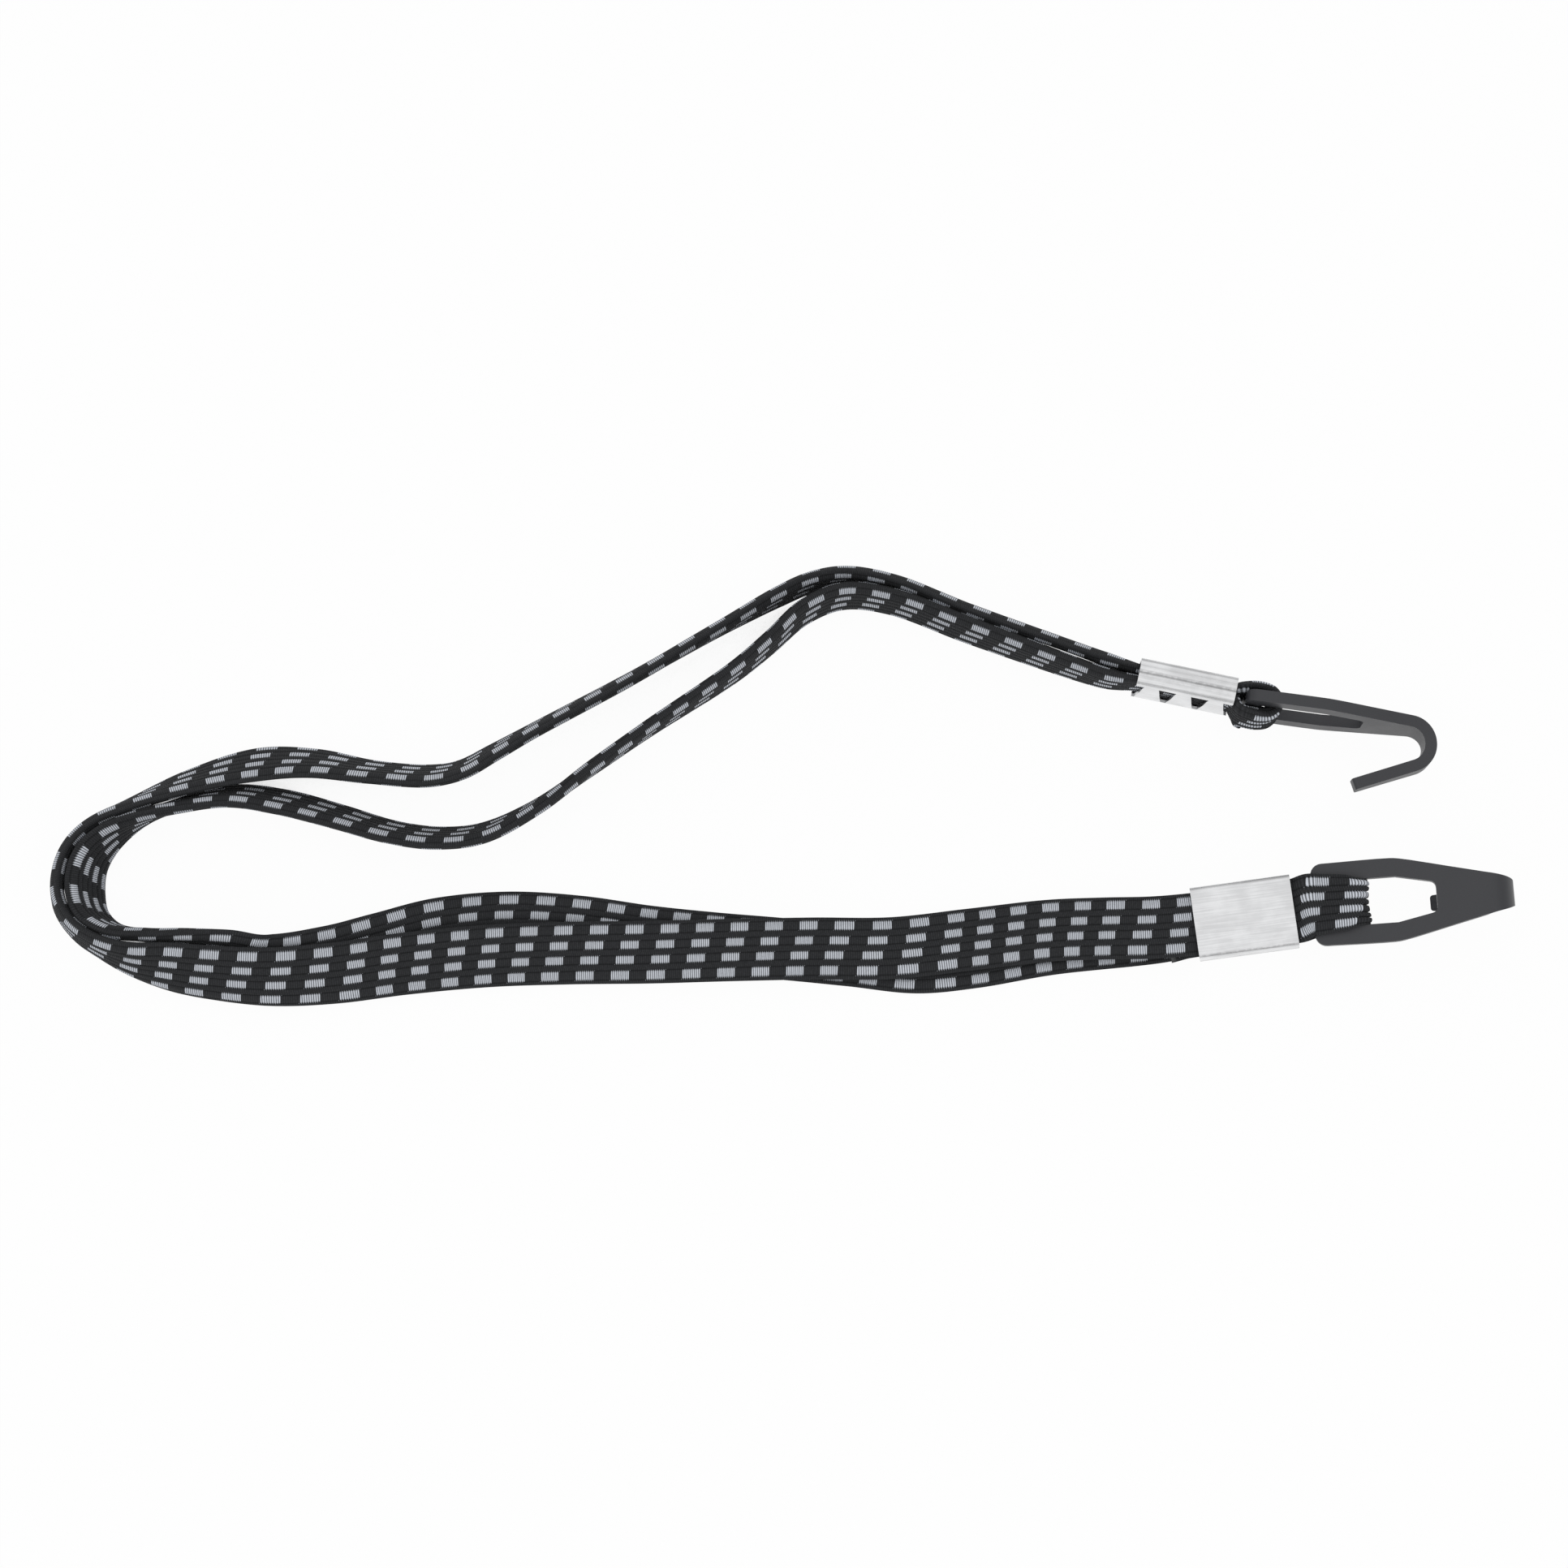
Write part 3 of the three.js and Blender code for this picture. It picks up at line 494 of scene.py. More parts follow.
def loop_knots(end, sizes, reach, first_side, side, shares):
    """Knots of a loop round a bar: two legs that lie close to the plate, each with its swell, and a nose."""
    origin, axes = hook_frame(end, sizes)
    height = sizes.plate_thickness / 2 + sizes.loop_clearance + sizes.loose_thickness / 2
    apex = reach - sizes.loose_thickness / 2 - sizes.bar_width / 2
    nose = height * NOSE_LENGTH
    starts = (-sizes.bar_width / 2 - LEG_LEAD, 0, max(apex - nose, sizes.bar_width / 4))
    along = np.concatenate((starts, apex - nose * np.array(NOSE_BACKS)))
    leg = np.column_stack((along, height * np.array(LEG_HEIGHTS)))
    swells = np.outer(end["swell"], LEG_SWELLS)
    legs = [leg + np.column_stack((np.zeros(len(leg)), swell / 2)) for swell in swells]
    outline = np.vstack((legs[0] * (1, first_side), legs[1][::-1] * (1, -first_side)))
    places = origin + outline @ axes[:, (0, 2)].T
    across = np.tile(side * axes[:, 1], (len(outline), 1))
    thickness = sizes.loose_thickness + np.concatenate((swells[0], swells[1][::-1]))
    return list(np.column_stack((places, across, (*shares[2:], *shares[:1:-1]), thickness)))


def band_knots(sizes):
    """Knots of the inner band, the outer band and the two loops, each in the way in which the strip runs."""
    length = sizes.ferrule_length
    half = length / 2
    gather = length - GATHER_DEPTH

    def lower(along, layer, share=1.0, drift=0.0):
        return ferrule_knot(LOWER_END, sizes, along, layer, 1, share, drift)

    def upper(along, layer, share=1.0):
        return ferrule_knot(UPPER_END, sizes, along, layer, -1, share)

    inner = [lower(length - sizes.buried_inset, -1), lower(0, -1), *route_knots(INNER_ROUTE, -1, sizes),
             upper(ENTRY_DEPTH, -0.5), upper(half, -0.5)]
    outer = [upper(half, 0.5), upper(ENTRY_DEPTH, 0.5), *route_knots(OUTER_ROUTE, 1, sizes)[::-1],
             lower(0, 1), lower(half, 1)]
    start, mouth = UPPER_LOOP_SHARES[:2]
    leaving = UPPER_END["mouth_layer"]
    swollen = upper(length + SWOLLEN_PAST, leaving - SWOLLEN_LAYERS, mouth)
    upper_loop = [upper(half, -0.5), upper(gather, -0.5, start), upper(length, leaving, mouth),
                  (*swollen[:-1], sizes.loose_thickness + UPPER_END["swell"][0]),
                  *loop_knots(UPPER_END, sizes, sizes.loop_reach_upper, -1, -1, UPPER_LOOP_SHARES),
                  upper(length, 0.5, mouth), upper(gather, 0.5, start), upper(half, 0.5)]
    start, mouth = LOWER_LOOP_SHARES[:2]
    lower_loop = [lower(half, 1), lower(gather, 1, start), lower(length, LOWER_END["mouth_layer"], mouth),
                  *loop_knots(LOWER_END, sizes, sizes.loop_reach_lower, 1, 1, LOWER_LOOP_SHARES),
                  lower(length, 0, mouth), lower(gather, 0, start), lower(0, 0),
                  lower(-sizes.tail_length, sizes.tail_lift, 1.0, -sizes.tail_drift)]
    return [np.array(knots) for knots in (inner, outer, upper_loop, lower_loop)]


# Surfaces.


def add_piece(name, points, faces, finish, corner_uv=None, values=None):
    """A smooth mesh object at the origin from an array of points and one of faces, with a finish's material,
    a UV pair for every corner of a face and named values for every point."""
    mesh = bpy.data.meshes.new(name)
    mesh.from_pydata(points.tolist(), [], faces.tolist())
    mesh.polygons.foreach_set("use_smooth", np.ones(len(mesh.polygons), bool))
    if corner_uv is not None:
        layer = mesh.uv_layers.new(name="Weave")
        layer.data.foreach_set("uv", corner_uv.astype(np.float32).ravel())
    for label, amounts in (values or {}).items():
        attribute = mesh.attributes.new(label, "FLOAT", "POINT")
        attribute.data.foreach_set("value", amounts.astype(np.float32).ravel())
    mesh.materials.append(bpy.data.materials[finish])
    mesh.update()
    piece = bpy.data.objects.new(name, mesh)
    bpy.context.scene.collection.objects.link(piece)
    return piece


def grid_faces(rows, columns):
    """Faces of a grid of points, row by row, with the row and the column of each face."""
    row, column = np.meshgrid(np.arange(rows - 1), np.arange(columns - 1), indexing="ij")
    first = row * columns + column
    return np.stack((first, first + 1, first + columns + 1, first + columns), -1), row, column


def rib_profile(sizes):
    """Across, row, shape and sag of the upper half of the webbing's section. The row counts ribs: wide ones
    with dashes are centred on odd rows and narrow ones on even rows, and the edge is row 4. The shape is the
    share of half the thickness, one as far as the last wide rib and from there an oval fall to the edge. The
    sag is a mix of the square and the eighth power of the way from a rib's middle to its border."""
    half, pitch, wide = sizes.webbing_width / 2, sizes.rib_pitch, sizes.wide_rib
    last = half - sizes.plain_edge
    borders = np.add.outer((-3, -1, 1, 3), (-wide, wide)).ravel() * pitch
    borders[0], borders[-1] = -last, last
    parts = np.linspace(0, 1, sizes.rib_points, endpoint=False)
    ribs = (borders[:-1, None] + np.diff(borders)[:, None] * parts).ravel()
    edge = last + (half - last) * np.sin(np.linspace(0, math.pi / 2, sizes.rib_points + 1))
    across = np.concatenate((-edge[::-1], ribs[1:], edge))
    out = np.abs(across)
    row = np.sign(across) * np.interp(out, (0, 3 * pitch, last, half), (0, 3, 3 + wide, 4))
    fall = np.clip((out - borders[-2]) / (half - borders[-2]), 0, 1) ** sizes.edge_round
    shape = (1 - EDGE_LOSS * fall) ** (1 / sizes.edge_round)
    off_wide = np.abs(row % 2 - 1)
    way = np.where(off_wide < wide, off_wide / wide, (1 - off_wide) / (1 - wide))
    sag = SQUARE_SHARE * way**2 + (1 - SQUARE_SHARE) * way**8
    return across, row, shape, sizes.groove_depth * shape * sag


def row_shift(across, sizes):
    """How far along the weave is shifted at the corners of each face, in dashes: the slant times the middle
    of the face's rib, and a quarter of the slant times the way off that middle."""
    middle = across.mean(1, keepdims=True)
    wide = 2 * np.round((middle - 1) / 2) + 1
    rib = np.where(np.abs(middle - wide) < sizes.wide_rib, wide, 2 * np.round(middle / 2))
    return sizes.row_slant * (rib + 0.25 * (across - rib))


def webbing_surface(frames, counts, back_shift, sizes):
    """Points, faces and corner UV of webbing: the ribbed section, lower side and upper side, carried along
    the frames and closed with a strip at each end. Where the width is gathered it follows the sine of an
    arc, its edges stand out by the cube of the gather and the square of the way across, the section grows
    thicker and its grooves deeper. U is the count of dashes, shifted on the lower side, and V the way across
    in ribs, turned there."""
    across, row, shape, sag = rib_profile(sizes)
    columns, rings = len(across), len(frames["place"])
    count = 2 * columns
    share = frames["share"][:, None]
    gather = np.maximum(1 - share, 0) / (1 - min(LOWER_LOOP_SHARES))
    over = frames["thickness"][:, None] / 2 * shape / np.sqrt(share) - sag * (1 + GATHERED_GROOVES * gather)
    ring_across = np.concatenate((across, across[::-1]))
    half = sizes.webbing_width / 2
    curl = np.maximum(sizes.loop_curl * gather, LEAST_CURL)
    curled = half * share * np.sin(curl * ring_across / half) / np.sin(curl)
    flare = sizes.loop_flare * gather**3 * (ring_across / half) ** 2
    ring_over = np.hstack((-over, over[:, ::-1])) + flare
    points = (frames["place"][:, None]
              + frames["width"][:, None] * curled[..., None]
              + frames["face"][:, None] * ring_over[..., None])
    ring, side = np.meshgrid(np.arange(rings - 1), np.arange(count), indexing="ij")
    following = (side + 1) % count
    wall = np.stack((ring * count + side, ring * count + following,
                     (ring + 1) * count + following, (ring + 1) * count + side), -1).reshape(-1, 4)
    low = np.arange(columns - 1)
    start = np.stack((low, count - 1 - low, count - 2 - low, low + 1), -1)
    finish = start[:, ::-1] + (rings - 1) * count
    faces = np.vstack((wall, start, finish))
    ring_row = np.concatenate((row, row[::-1]))
    uv = np.stack(np.broadcast_arrays(counts[:, None], ring_row), -1).reshape(-1, 2)
    corner_uv = uv[faces]
    turned_side = np.zeros(len(faces), bool)
    turned_side[:len(wall)] = (side < columns - 1).ravel()
    corner_uv[turned_side, :, 1] *= -1
    corner_uv[turned_side, :, 0] += back_shift
    corner_uv[..., 0] += row_shift(corner_uv[..., 1], sizes)
    return points.reshape(-1, 3), faces, corner_uv


def dash_counts(run, marks):
    """Distances along a strip as counts of dashes, straight between its marks and evenly on beyond them."""
    places, numbers = marks.T
    slope = (numbers[-1] - numbers[0]) / (places[-1] - places[0])
    beyond = np.minimum(run - places[0], 0) + np.maximum(run - places[-1], 0)
    return np.interp(run, places, numbers) + beyond * slope


def ferrule_outline(sizes, layers):
    """Outline of a ferrule's section from the lip's edge over the creased side, the back and the other side
    to the tongues' tips, as (y, z) rows, with the painted shade and scuffs of each row and the number of
    rows in a tongue. The creased side is a shallow bow with a bell-shaped crease in its middle, and the
    tongues sink by a power of the way to their tips."""
    half_w = sizes.webbing_width / 2 + sizes.side_clearance + sizes.sheet_thickness
    pitch = sizes.webbing_thickness + sizes.layer_clearance
    half_h = (layers * pitch + sizes.layer_clearance) / 2 + sizes.sheet_thickness
    radius, back = sizes.ferrule_radius, sizes.back_radius
    lip = -half_w + radius + LIP_WIDTH
    tip = lip + SEAM_GAP

    def corner(y, z, first, round_off):
        angle = np.radians(np.linspace(first, first - 90, CORNER_ROWS))
        return np.column_stack((y + round_off * np.cos(angle), z + round_off * np.sin(angle)))

    reach = CREASED_SHARE * (half_h - radius)
    level = reach * np.linspace(-1, 1, CREASED_ROWS)
    bow = CREASED_BOW * (1 - (level / reach) ** 2)
    crease = np.exp(-((level / CREASE_WIDTH) ** 2))
    plain = np.linspace(-half_w + back, half_w - back, BACK_ROWS + 2)[1:-1]
    straight = np.linspace(half_w - radius, tip + sizes.tongue_round, TONGUE_ROWS)
    rounded = tip + sizes.tongue_round * (1 - np.sin(np.linspace(0, math.pi / 2, TIP_ROWS + 1)[1:]))
    tongue = np.concatenate((straight, rounded))
    sunk = np.clip((half_w - radius - SINK_START - tongue) / SINK_LENGTH, 0, 1)
    stretches = (
        np.array(((lip, -half_h), (lip - LIP_EDGE, -half_h))),
        corner(-half_w + radius, -half_h + radius, -90, radius),
        np.column_stack((-half_w - bow + CREASE_DEPTH * crease, level)),
        corner(-half_w + back, half_h - back, 180, back),
        np.column_stack((plain, np.full_like(plain, half_h))),
        corner(half_w - back, half_h - back, 90, back),
        corner(half_w - radius, -half_h + radius, 0, radius),
        np.column_stack((tongue, -half_h + SINK_DEPTH * sunk**SINK_POWER))[1:],
    )
    scuff_and_shade = [np.zeros(len(rows)) for rows in stretches]
    # Painted shade in the crease and along the corner to the back; real scuffs on the creased side's lower
    # half.
    scuff_and_shade[2] = np.maximum(MOST_PAINTED_SHADE * crease, np.where(level < 0, LOW_SCUFF, 0.0))
    scuff_and_shade[3] = MOST_PAINTED_SHADE * np.exp(-((np.arange(CORNER_ROWS) - SHADED_CORNER_ROW) / SHADED_CORNER_SPREAD) ** 2)
    return np.vstack(stretches), np.concatenate(scuff_and_shade), len(tongue) - 1


def ferrule_sheet(sizes, layers):
    """Points, faces, UV, and painted shade with scuffs, of a ferrule's outer sheet: the outline carried
    along
    X. In the rows of the tongues the columns of each tongue draw in to its middle, straight and then round
    its tip's corners, and the columns between two tongues have no faces."""
    outline, scuff_and_shade, tongue_rows = ferrule_outline(sizes, layers)
    length = sizes.ferrule_length - 2 * sizes.ferrule_trim
    pitch = length / TONGUES
    root_half = (pitch - sizes.notch_width) / 2
    local = np.concatenate(((-pitch / 2,), np.linspace(-root_half, root_half, TONGUE_STEPS + 1)))
    columns = np.append(((np.arange(TONGUES)[:, None] + 0.5) * pitch + local).ravel(), length)
    middle = (np.minimum(columns // pitch, TONGUES - 1) + 0.5) * pitch
    rows = len(outline)
    root = rows - tongue_rows - 1
    reach = np.maximum(outline[root, 0] - outline[:, 0], 0) * (np.arange(rows) > root)
    whole = reach[-1]
    drawn = root_half + (sizes.tongue_tip / 2 - root_half) * reach / whole
    into_corner = np.clip((reach - whole) / sizes.tongue_round + 1, 0, 1)
    drawn -= sizes.tongue_round * (1 - np.sqrt(1 - into_corner**2))
    along = middle + (columns - middle) * (drawn / root_half)[:, None]
    points = np.empty((rows, len(columns), 3))
    points[..., 0] = sizes.ferrule_trim + along
    points[..., 1:] = outline[:, None, :]
    way = np.concatenate(((0,), np.cumsum(np.linalg.norm(np.diff(outline, axis=0), axis=1))))
    uv = np.stack(np.broadcast_arrays(along, way[:, None]), -1)
    faces, row, column = grid_faces(rows, len(columns))
    between = np.isin(column % (TONGUE_STEPS + 2), (0, TONGUE_STEPS + 1))
    kept = faces[~((row >= root) & between)]
    return points.reshape(-1, 3), kept, uv.reshape(-1, 2), np.repeat(scuff_and_shade, len(columns))


def only_used(points, faces, uv, *values):
    """The same surface without the points that no face uses, with its UV at every corner."""
    used, places = np.unique(faces, return_inverse=True)
    return points[used], places.reshape(faces.shape), uv[faces], *(each[used] for each in values)


def hook_columns(sizes):
    """Stations along a hook's developed plate: distance from its end, half width, half width of the eye
    there, and whether the eye is open. Corners are quarter circles, sides the cubic through the taper."""
    at = np.linspace(0, len(PLATE_TAPER) - 1, TAPER_STEPS)
    span = np.minimum(at.astype(int), len(PLATE_TAPER) - 2)
    smooth = through(PLATE_TAPER, span, at - span, CENTRIPETAL)

    def half_at(s):
        return np.interp(s, smooth[:, 0], smooth[:, 1])

    eye_half = sizes.eye_width / 2
    slope = (eye_half - EYE_END_HALF) / (EYE_END - SHOULDER)
    lean = math.atan(slope)
    end_centre = EYE_END_HALF - EYE_RADIUS / math.cos(lean) + slope * EYE_RADIUS
    quarter = np.linspace(0, math.pi / 2, QUARTER_STATIONS)
    turn = np.linspace(lean, math.pi / 2, QUARTER_STATIONS)
    s_corner = PLATE_CORNER * (1 - np.cos(quarter))
    s_eye = sizes.bar_width + EYE_RADIUS * (1 - np.cos(quarter))
    s_rail = np.array(RAIL_STATIONS)
    s_end = EYE_END - EYE_RADIUS + EYE_RADIUS * np.sin(turn)
    s_shank = np.linspace(EYE_END, BEND, SHANK_STATIONS + 1)[1:]
    s_bend = BEND + np.linspace(0, BEND_LENGTH, BEND_STATIONS + 1)[1:]
    s_arm = np.linspace(BEND + BEND_LENGTH, ARM_END - TIP_ROUND, ARM_STATIONS + 1)[1:]
    s_tip = ARM_END - TIP_ROUND + TIP_ROUND * np.sin(quarter[1:])
    s = np.concatenate((s_corner, s_eye, s_rail, s_end, s_shank, s_bend, s_arm, s_tip))
    eye_from = len(s_corner)
    eye_to = eye_from + len(s_eye) + len(s_rail) + len(s_end)
    half = half_at(s)
    half[:eye_from] = PLATE_END_HALF - PLATE_CORNER + PLATE_CORNER * np.sin(quarter)
    half[-len(s_tip):] = TIP_HALF - TIP_ROUND + TIP_ROUND * np.cos(quarter[1:])
    eye_start_half = eye_half - EYE_RADIUS
    eye = np.concatenate((
        np.full(eye_from, eye_start_half),
        eye_start_half + EYE_RADIUS * np.sin(quarter),
        np.interp(s_rail, (SHOULDER, EYE_END), (eye_half, EYE_END_HALF)),
        end_centre + EYE_RADIUS * np.cos(turn),
        end_centre * half[eye_to:] / half_at(EYE_END),
    ))
    station = np.arange(len(s))
    return s, half, eye, (station >= eye_from) & (station < eye_to - 1)


def hook_sheet(sizes):
    """Points, faces and UV of a hook's middle surface. Across, rows run from each edge to the eye and more
    between; along, the plate is flat, then turns on a circle and goes straight on as the arm."""
    s, half, eye, is_open = hook_columns(sizes)
    outer = np.linspace(0, 1, SIDE_ROWS + 1)
    inner = np.linspace(-1, 1, EYE_ROWS + 1)[1:-1]
    side = eye[:, None] + (half - eye)[:, None] * outer
    v = np.hstack((-side[:, ::-1], eye[:, None] * inner, side))
    angle = np.clip((s - BEND) / BEND_RADIUS, 0, BEND_TURN)
    beyond = np.maximum(s - BEND - BEND_LENGTH, 0)
    flat = np.minimum(s, BEND) - sizes.bar_width / 2
    x = flat + BEND_RADIUS * np.sin(angle) + beyond * math.cos(BEND_TURN)
    z = -BEND_RADIUS * (1 - np.cos(angle)) - beyond * math.sin(BEND_TURN)
    points = np.stack(np.broadcast_arrays(x[:, None], v, z[:, None]), -1)
    uv = np.stack(np.broadcast_arrays(s[:, None], v), -1)
    faces, column, row = grid_faces(*v.shape)
    in_eye = is_open[column] & (row >= SIDE_ROWS) & (row < SIDE_ROWS + EYE_ROWS)
    return points.reshape(-1, 3), faces[~in_eye][:, (0, 3, 2, 1)], uv.reshape(-1, 2)


def finish_sheet(piece, thickness, offset, edge):
    """Gives a sheet its thickness and rounds its edges."""
    solid = piece.modifiers.new("Thickness", "SOLIDIFY")
    solid.thickness = thickness
    solid.offset = offset
    solid.use_even_offset = True
    bevel = piece.modifiers.new("Edges", "BEVEL")
    bevel.width = edge
    bevel.segments = EDGE_SEGMENTS
    bevel.limit_method = "ANGLE"
    bevel.angle_limit = EDGE_ANGLE
    bevel.harden_normals = True


# Finishes.


def set_inputs(tree, node, inputs):
    """Links each input of a node from a socket, or sets it to a value."""
    for name, value in inputs.items():
        if isinstance(value, bpy.types.NodeSocket):
            tree.links.new(value, node.inputs[name])
        else:
            node.inputs[name].default_value = value


def add_node(tree, kind, inputs=None, **settings):
    """A node with its settings, and its inputs either linked from a socket or set to a value."""
    node = tree.nodes.new(kind)
    for name, value in settings.items():
        setattr(node, name, value)
    set_inputs(tree, node, inputs or {})
    return node


def math_node(tree, operation, *values):
    """The output of a Math node on sockets or numbers."""
    return add_node(tree, "ShaderNodeMath", dict(enumerate(values)), operation=operation).outputs[0]


def spread(tree, value, low, high):
    """A value from 0 to 1 spread from low to high."""
    return math_node(tree, "MULTIPLY_ADD", value, high - low, low)


def weighed(tree, share, first, second):
    """The share of the first value and the rest of the second."""
    return math_node(tree, "MULTIPLY_ADD", first, share, math_node(tree, "MULTIPLY", second, 1 - share))


def step_node(tree, value, start, end):
    """A smooth step of the value from 0 at start to 1 at end."""
    node = add_node(tree, "ShaderNodeMapRange", {"Value": value, "From Min": start, "From Max": end},
                    interpolation_type="SMOOTHSTEP")
    return node.outputs["Result"]


def toned(colour_values, factor):
    """A colour made darker or lighter by a factor."""
    return tuple(factor * channel for channel in colour_values)


def mix_colour(tree, factor, first, second):
    """The colour output of a Mix node between two sockets or colours."""
    ends = [end if isinstance(end, bpy.types.NodeSocket) else (*end, 1.0) for end in (first, second)]
    return add_node(tree, "ShaderNodeMix", {0: factor, 6: ends[0], 7: ends[1]}, data_type="RGBA").outputs[2]


def noise_node(tree, place, scale, detail):
    """The value of a Noise texture."""
    inputs = {"Vector": place, "Scale": scale, "Detail": detail}
    return add_node(tree, "ShaderNodeTexNoise", inputs).outputs[0]


def bump_node(tree, height, strength, depth):
    """The normal of a Bump node."""
    inputs = {"Height": height, "Strength": strength, "Distance": depth}
    return add_node(tree, "ShaderNodeBump", inputs).outputs["Normal"]


def woven_uv(tree):
    """The piece's own UV."""
    return add_node(tree, "ShaderNodeUVMap", uv_map="Weave").outputs["UV"]


def point_value(tree, label):
    """The named value that the piece's points carry."""
    return add_node(tree, "ShaderNodeAttribute", attribute_name=label).outputs["Fac"]


def new_group(name, inputs, outputs):
    """A shader node group with float sockets. Returns it, what it is given and where its results go."""
    tree = bpy.data.node_groups.new(name, "ShaderNodeTree")
    for in_out, labels in (("INPUT", inputs), ("OUTPUT", outputs)):
        for label in labels:
            tree.interface.new_socket(label, in_out=in_out, socket_type="NodeSocketFloat")
    return tree, tree.nodes.new("NodeGroupInput").outputs, tree.nodes.new("NodeGroupOutput")


def mottle_group():
    """Group of soft patches and fine grain in object space, for moulded and woven finishes."""
    tree, given, result = new_group("Mottle", ("Patch Scale", "Grain Scale"), ("Patch", "Grain"))
    place = add_node(tree, "ShaderNodeTexCoord").outputs["Object"]
    set_inputs(tree, result, {
        "Patch": noise_node(tree, place, given["Patch Scale"], 4.0),
        "Grain": noise_node(tree, place, given["Grain Scale"], 2.0),
    })


def weave_group():
    """Group of the ribbed weave on U in dashes and V in ribs. Off is the way from the middle of the nearest
    wide rib. Strands are a cosine along U, leaning with V. Puts out masks of dashes and of grooves, the
    grooves' mask being for painted shade, and the strands' height, which also sets painted light and shade."""
    tree, given, result = new_group(
        "Ribbed Weave", ("Along", "Across", "Strands", "Wide Rib"), ("Dash", "Groove", "Strand"))
    along, across, wide = given["Along"], given["Across"], given["Wide Rib"]
    turn = math_node(tree, "SUBTRACT", math_node(tree, "FLOORED_MODULO", across, 2.0), 1.0)
    off = math_node(tree, "ABSOLUTE", turn)
    lean = math_node(tree, "MULTIPLY", turn, STRAND_LEAN)
    phase = math_node(tree, "MULTIPLY_ADD", along, given["Strands"], lean)
    wave = math_node(tree, "COSINE", math_node(tree, "MULTIPLY", phase, 2 * math.pi))
    from_dash = math_node(tree, "SUBTRACT", along, math_node(tree, "ROUND", along))
    lengthwise = step_node(tree, math_node(tree, "ABSOLUTE", from_dash), *DASH_END)
    ragged = math_node(tree, "SUBTRACT", math_node(tree, "MULTIPLY_ADD", wave, DASH_RAGGED, off), wide)
    crosswise = step_node(tree, ragged, *DASH_SIDE)
    border = math_node(tree, "ABSOLUTE", math_node(tree, "SUBTRACT", off, wide))
    set_inputs(tree, result, {
        "Dash": math_node(tree, "MULTIPLY", lengthwise, crosswise),
        "Groove": step_node(tree, border, *GROOVE_SHADE),
        "Strand": math_node(tree, "MULTIPLY_ADD", wave, 0.5, 0.5),
    })


def new_material(name):
    """Makes a material with a Principled BSDF. Returns its tree and the shader."""
    material = bpy.data.materials.new(name)
    material.use_nodes = True
    return material.node_tree, material.node_tree.nodes["Principled BSDF"]


def use_group(tree, group, inputs):
    """The outputs of a group placed in a material's tree with its own values."""
    return add_node(tree, "ShaderNodeGroup", inputs, node_tree=bpy.data.node_groups[group]).outputs


def webbing_material(sizes, colours):
    """Black ribbed elastic with rows of pale dashes, on the webbing's own UV, shiny where it is sealed.
    Painted light lightens the strands' crests, and painted shade darkens the dashes between strands and the
    grooves between ribs.
    """
    tree, shader = new_material("Ribbed webbing")
    way = add_node(tree, "ShaderNodeSeparateXYZ", {"Vector": woven_uv(tree)}).outputs
    weave = use_group(tree, "Ribbed Weave", {
        "Along": way["X"], "Across": way["Y"], "Strands": STRANDS, "Wide Rib": sizes.wide_rib})
    grain = use_group(tree, "Mottle", {"Grain Scale": 1900.0})["Grain"]
    sealed = point_value(tree, "sealed")
    woven = math_node(tree, "SUBTRACT", 1.0, sealed)
    # Painted light and grain: the black yarn turns lighter at random, more so on the strands' crests.
    painted_light_and_wear = math_node(tree, "MULTIPLY", grain, spread(tree, weave["Strand"], 0.3, 1.2))
    black = mix_colour(tree, painted_light_and_wear, colours.yarn, colours.yarn_lit_and_worn)
    # Painted shade: between strands a dash's pale yarn falls towards a fifth of its colour, with random
    # grain.
    lit = step_node(tree, weave["Strand"], 0.1, 0.7)
    shade = math_node(tree, "MULTIPLY", lit, spread(tree, grain, 0.72, 1.22))
    pale = mix_colour(tree, shade, toned(colours.dash, 0.22), colours.dash)
    yarn = mix_colour(tree, math_node(tree, "MULTIPLY", weave["Dash"], woven), black, pale)
    # Painted shade in the grooves between ribs: the yarn there is darkened towards four tenths.
    painted_groove_shade = math_node(tree, "MULTIPLY", weave["Groove"], 0.6)
    raised = math_node(tree, "MULTIPLY_ADD", grain, 0.5, weave["Strand"])
    set_inputs(tree, shader, {
        "Base Color": mix_colour(tree, painted_groove_shade, yarn, toned(colours.yarn, 0.4)),
        "Roughness": spread(tree, sealed, 0.82, 0.27),
        "Specular IOR Level": 0.14,
        "Coat Weight": sealed,
        "Coat Roughness": 0.12,
        "Sheen Weight": 0.03,
        "Sheen Roughness": 0.5,
        "Normal": bump_node(tree, math_node(tree, "MULTIPLY", raised, woven), 0.7, 0.00016),
    })


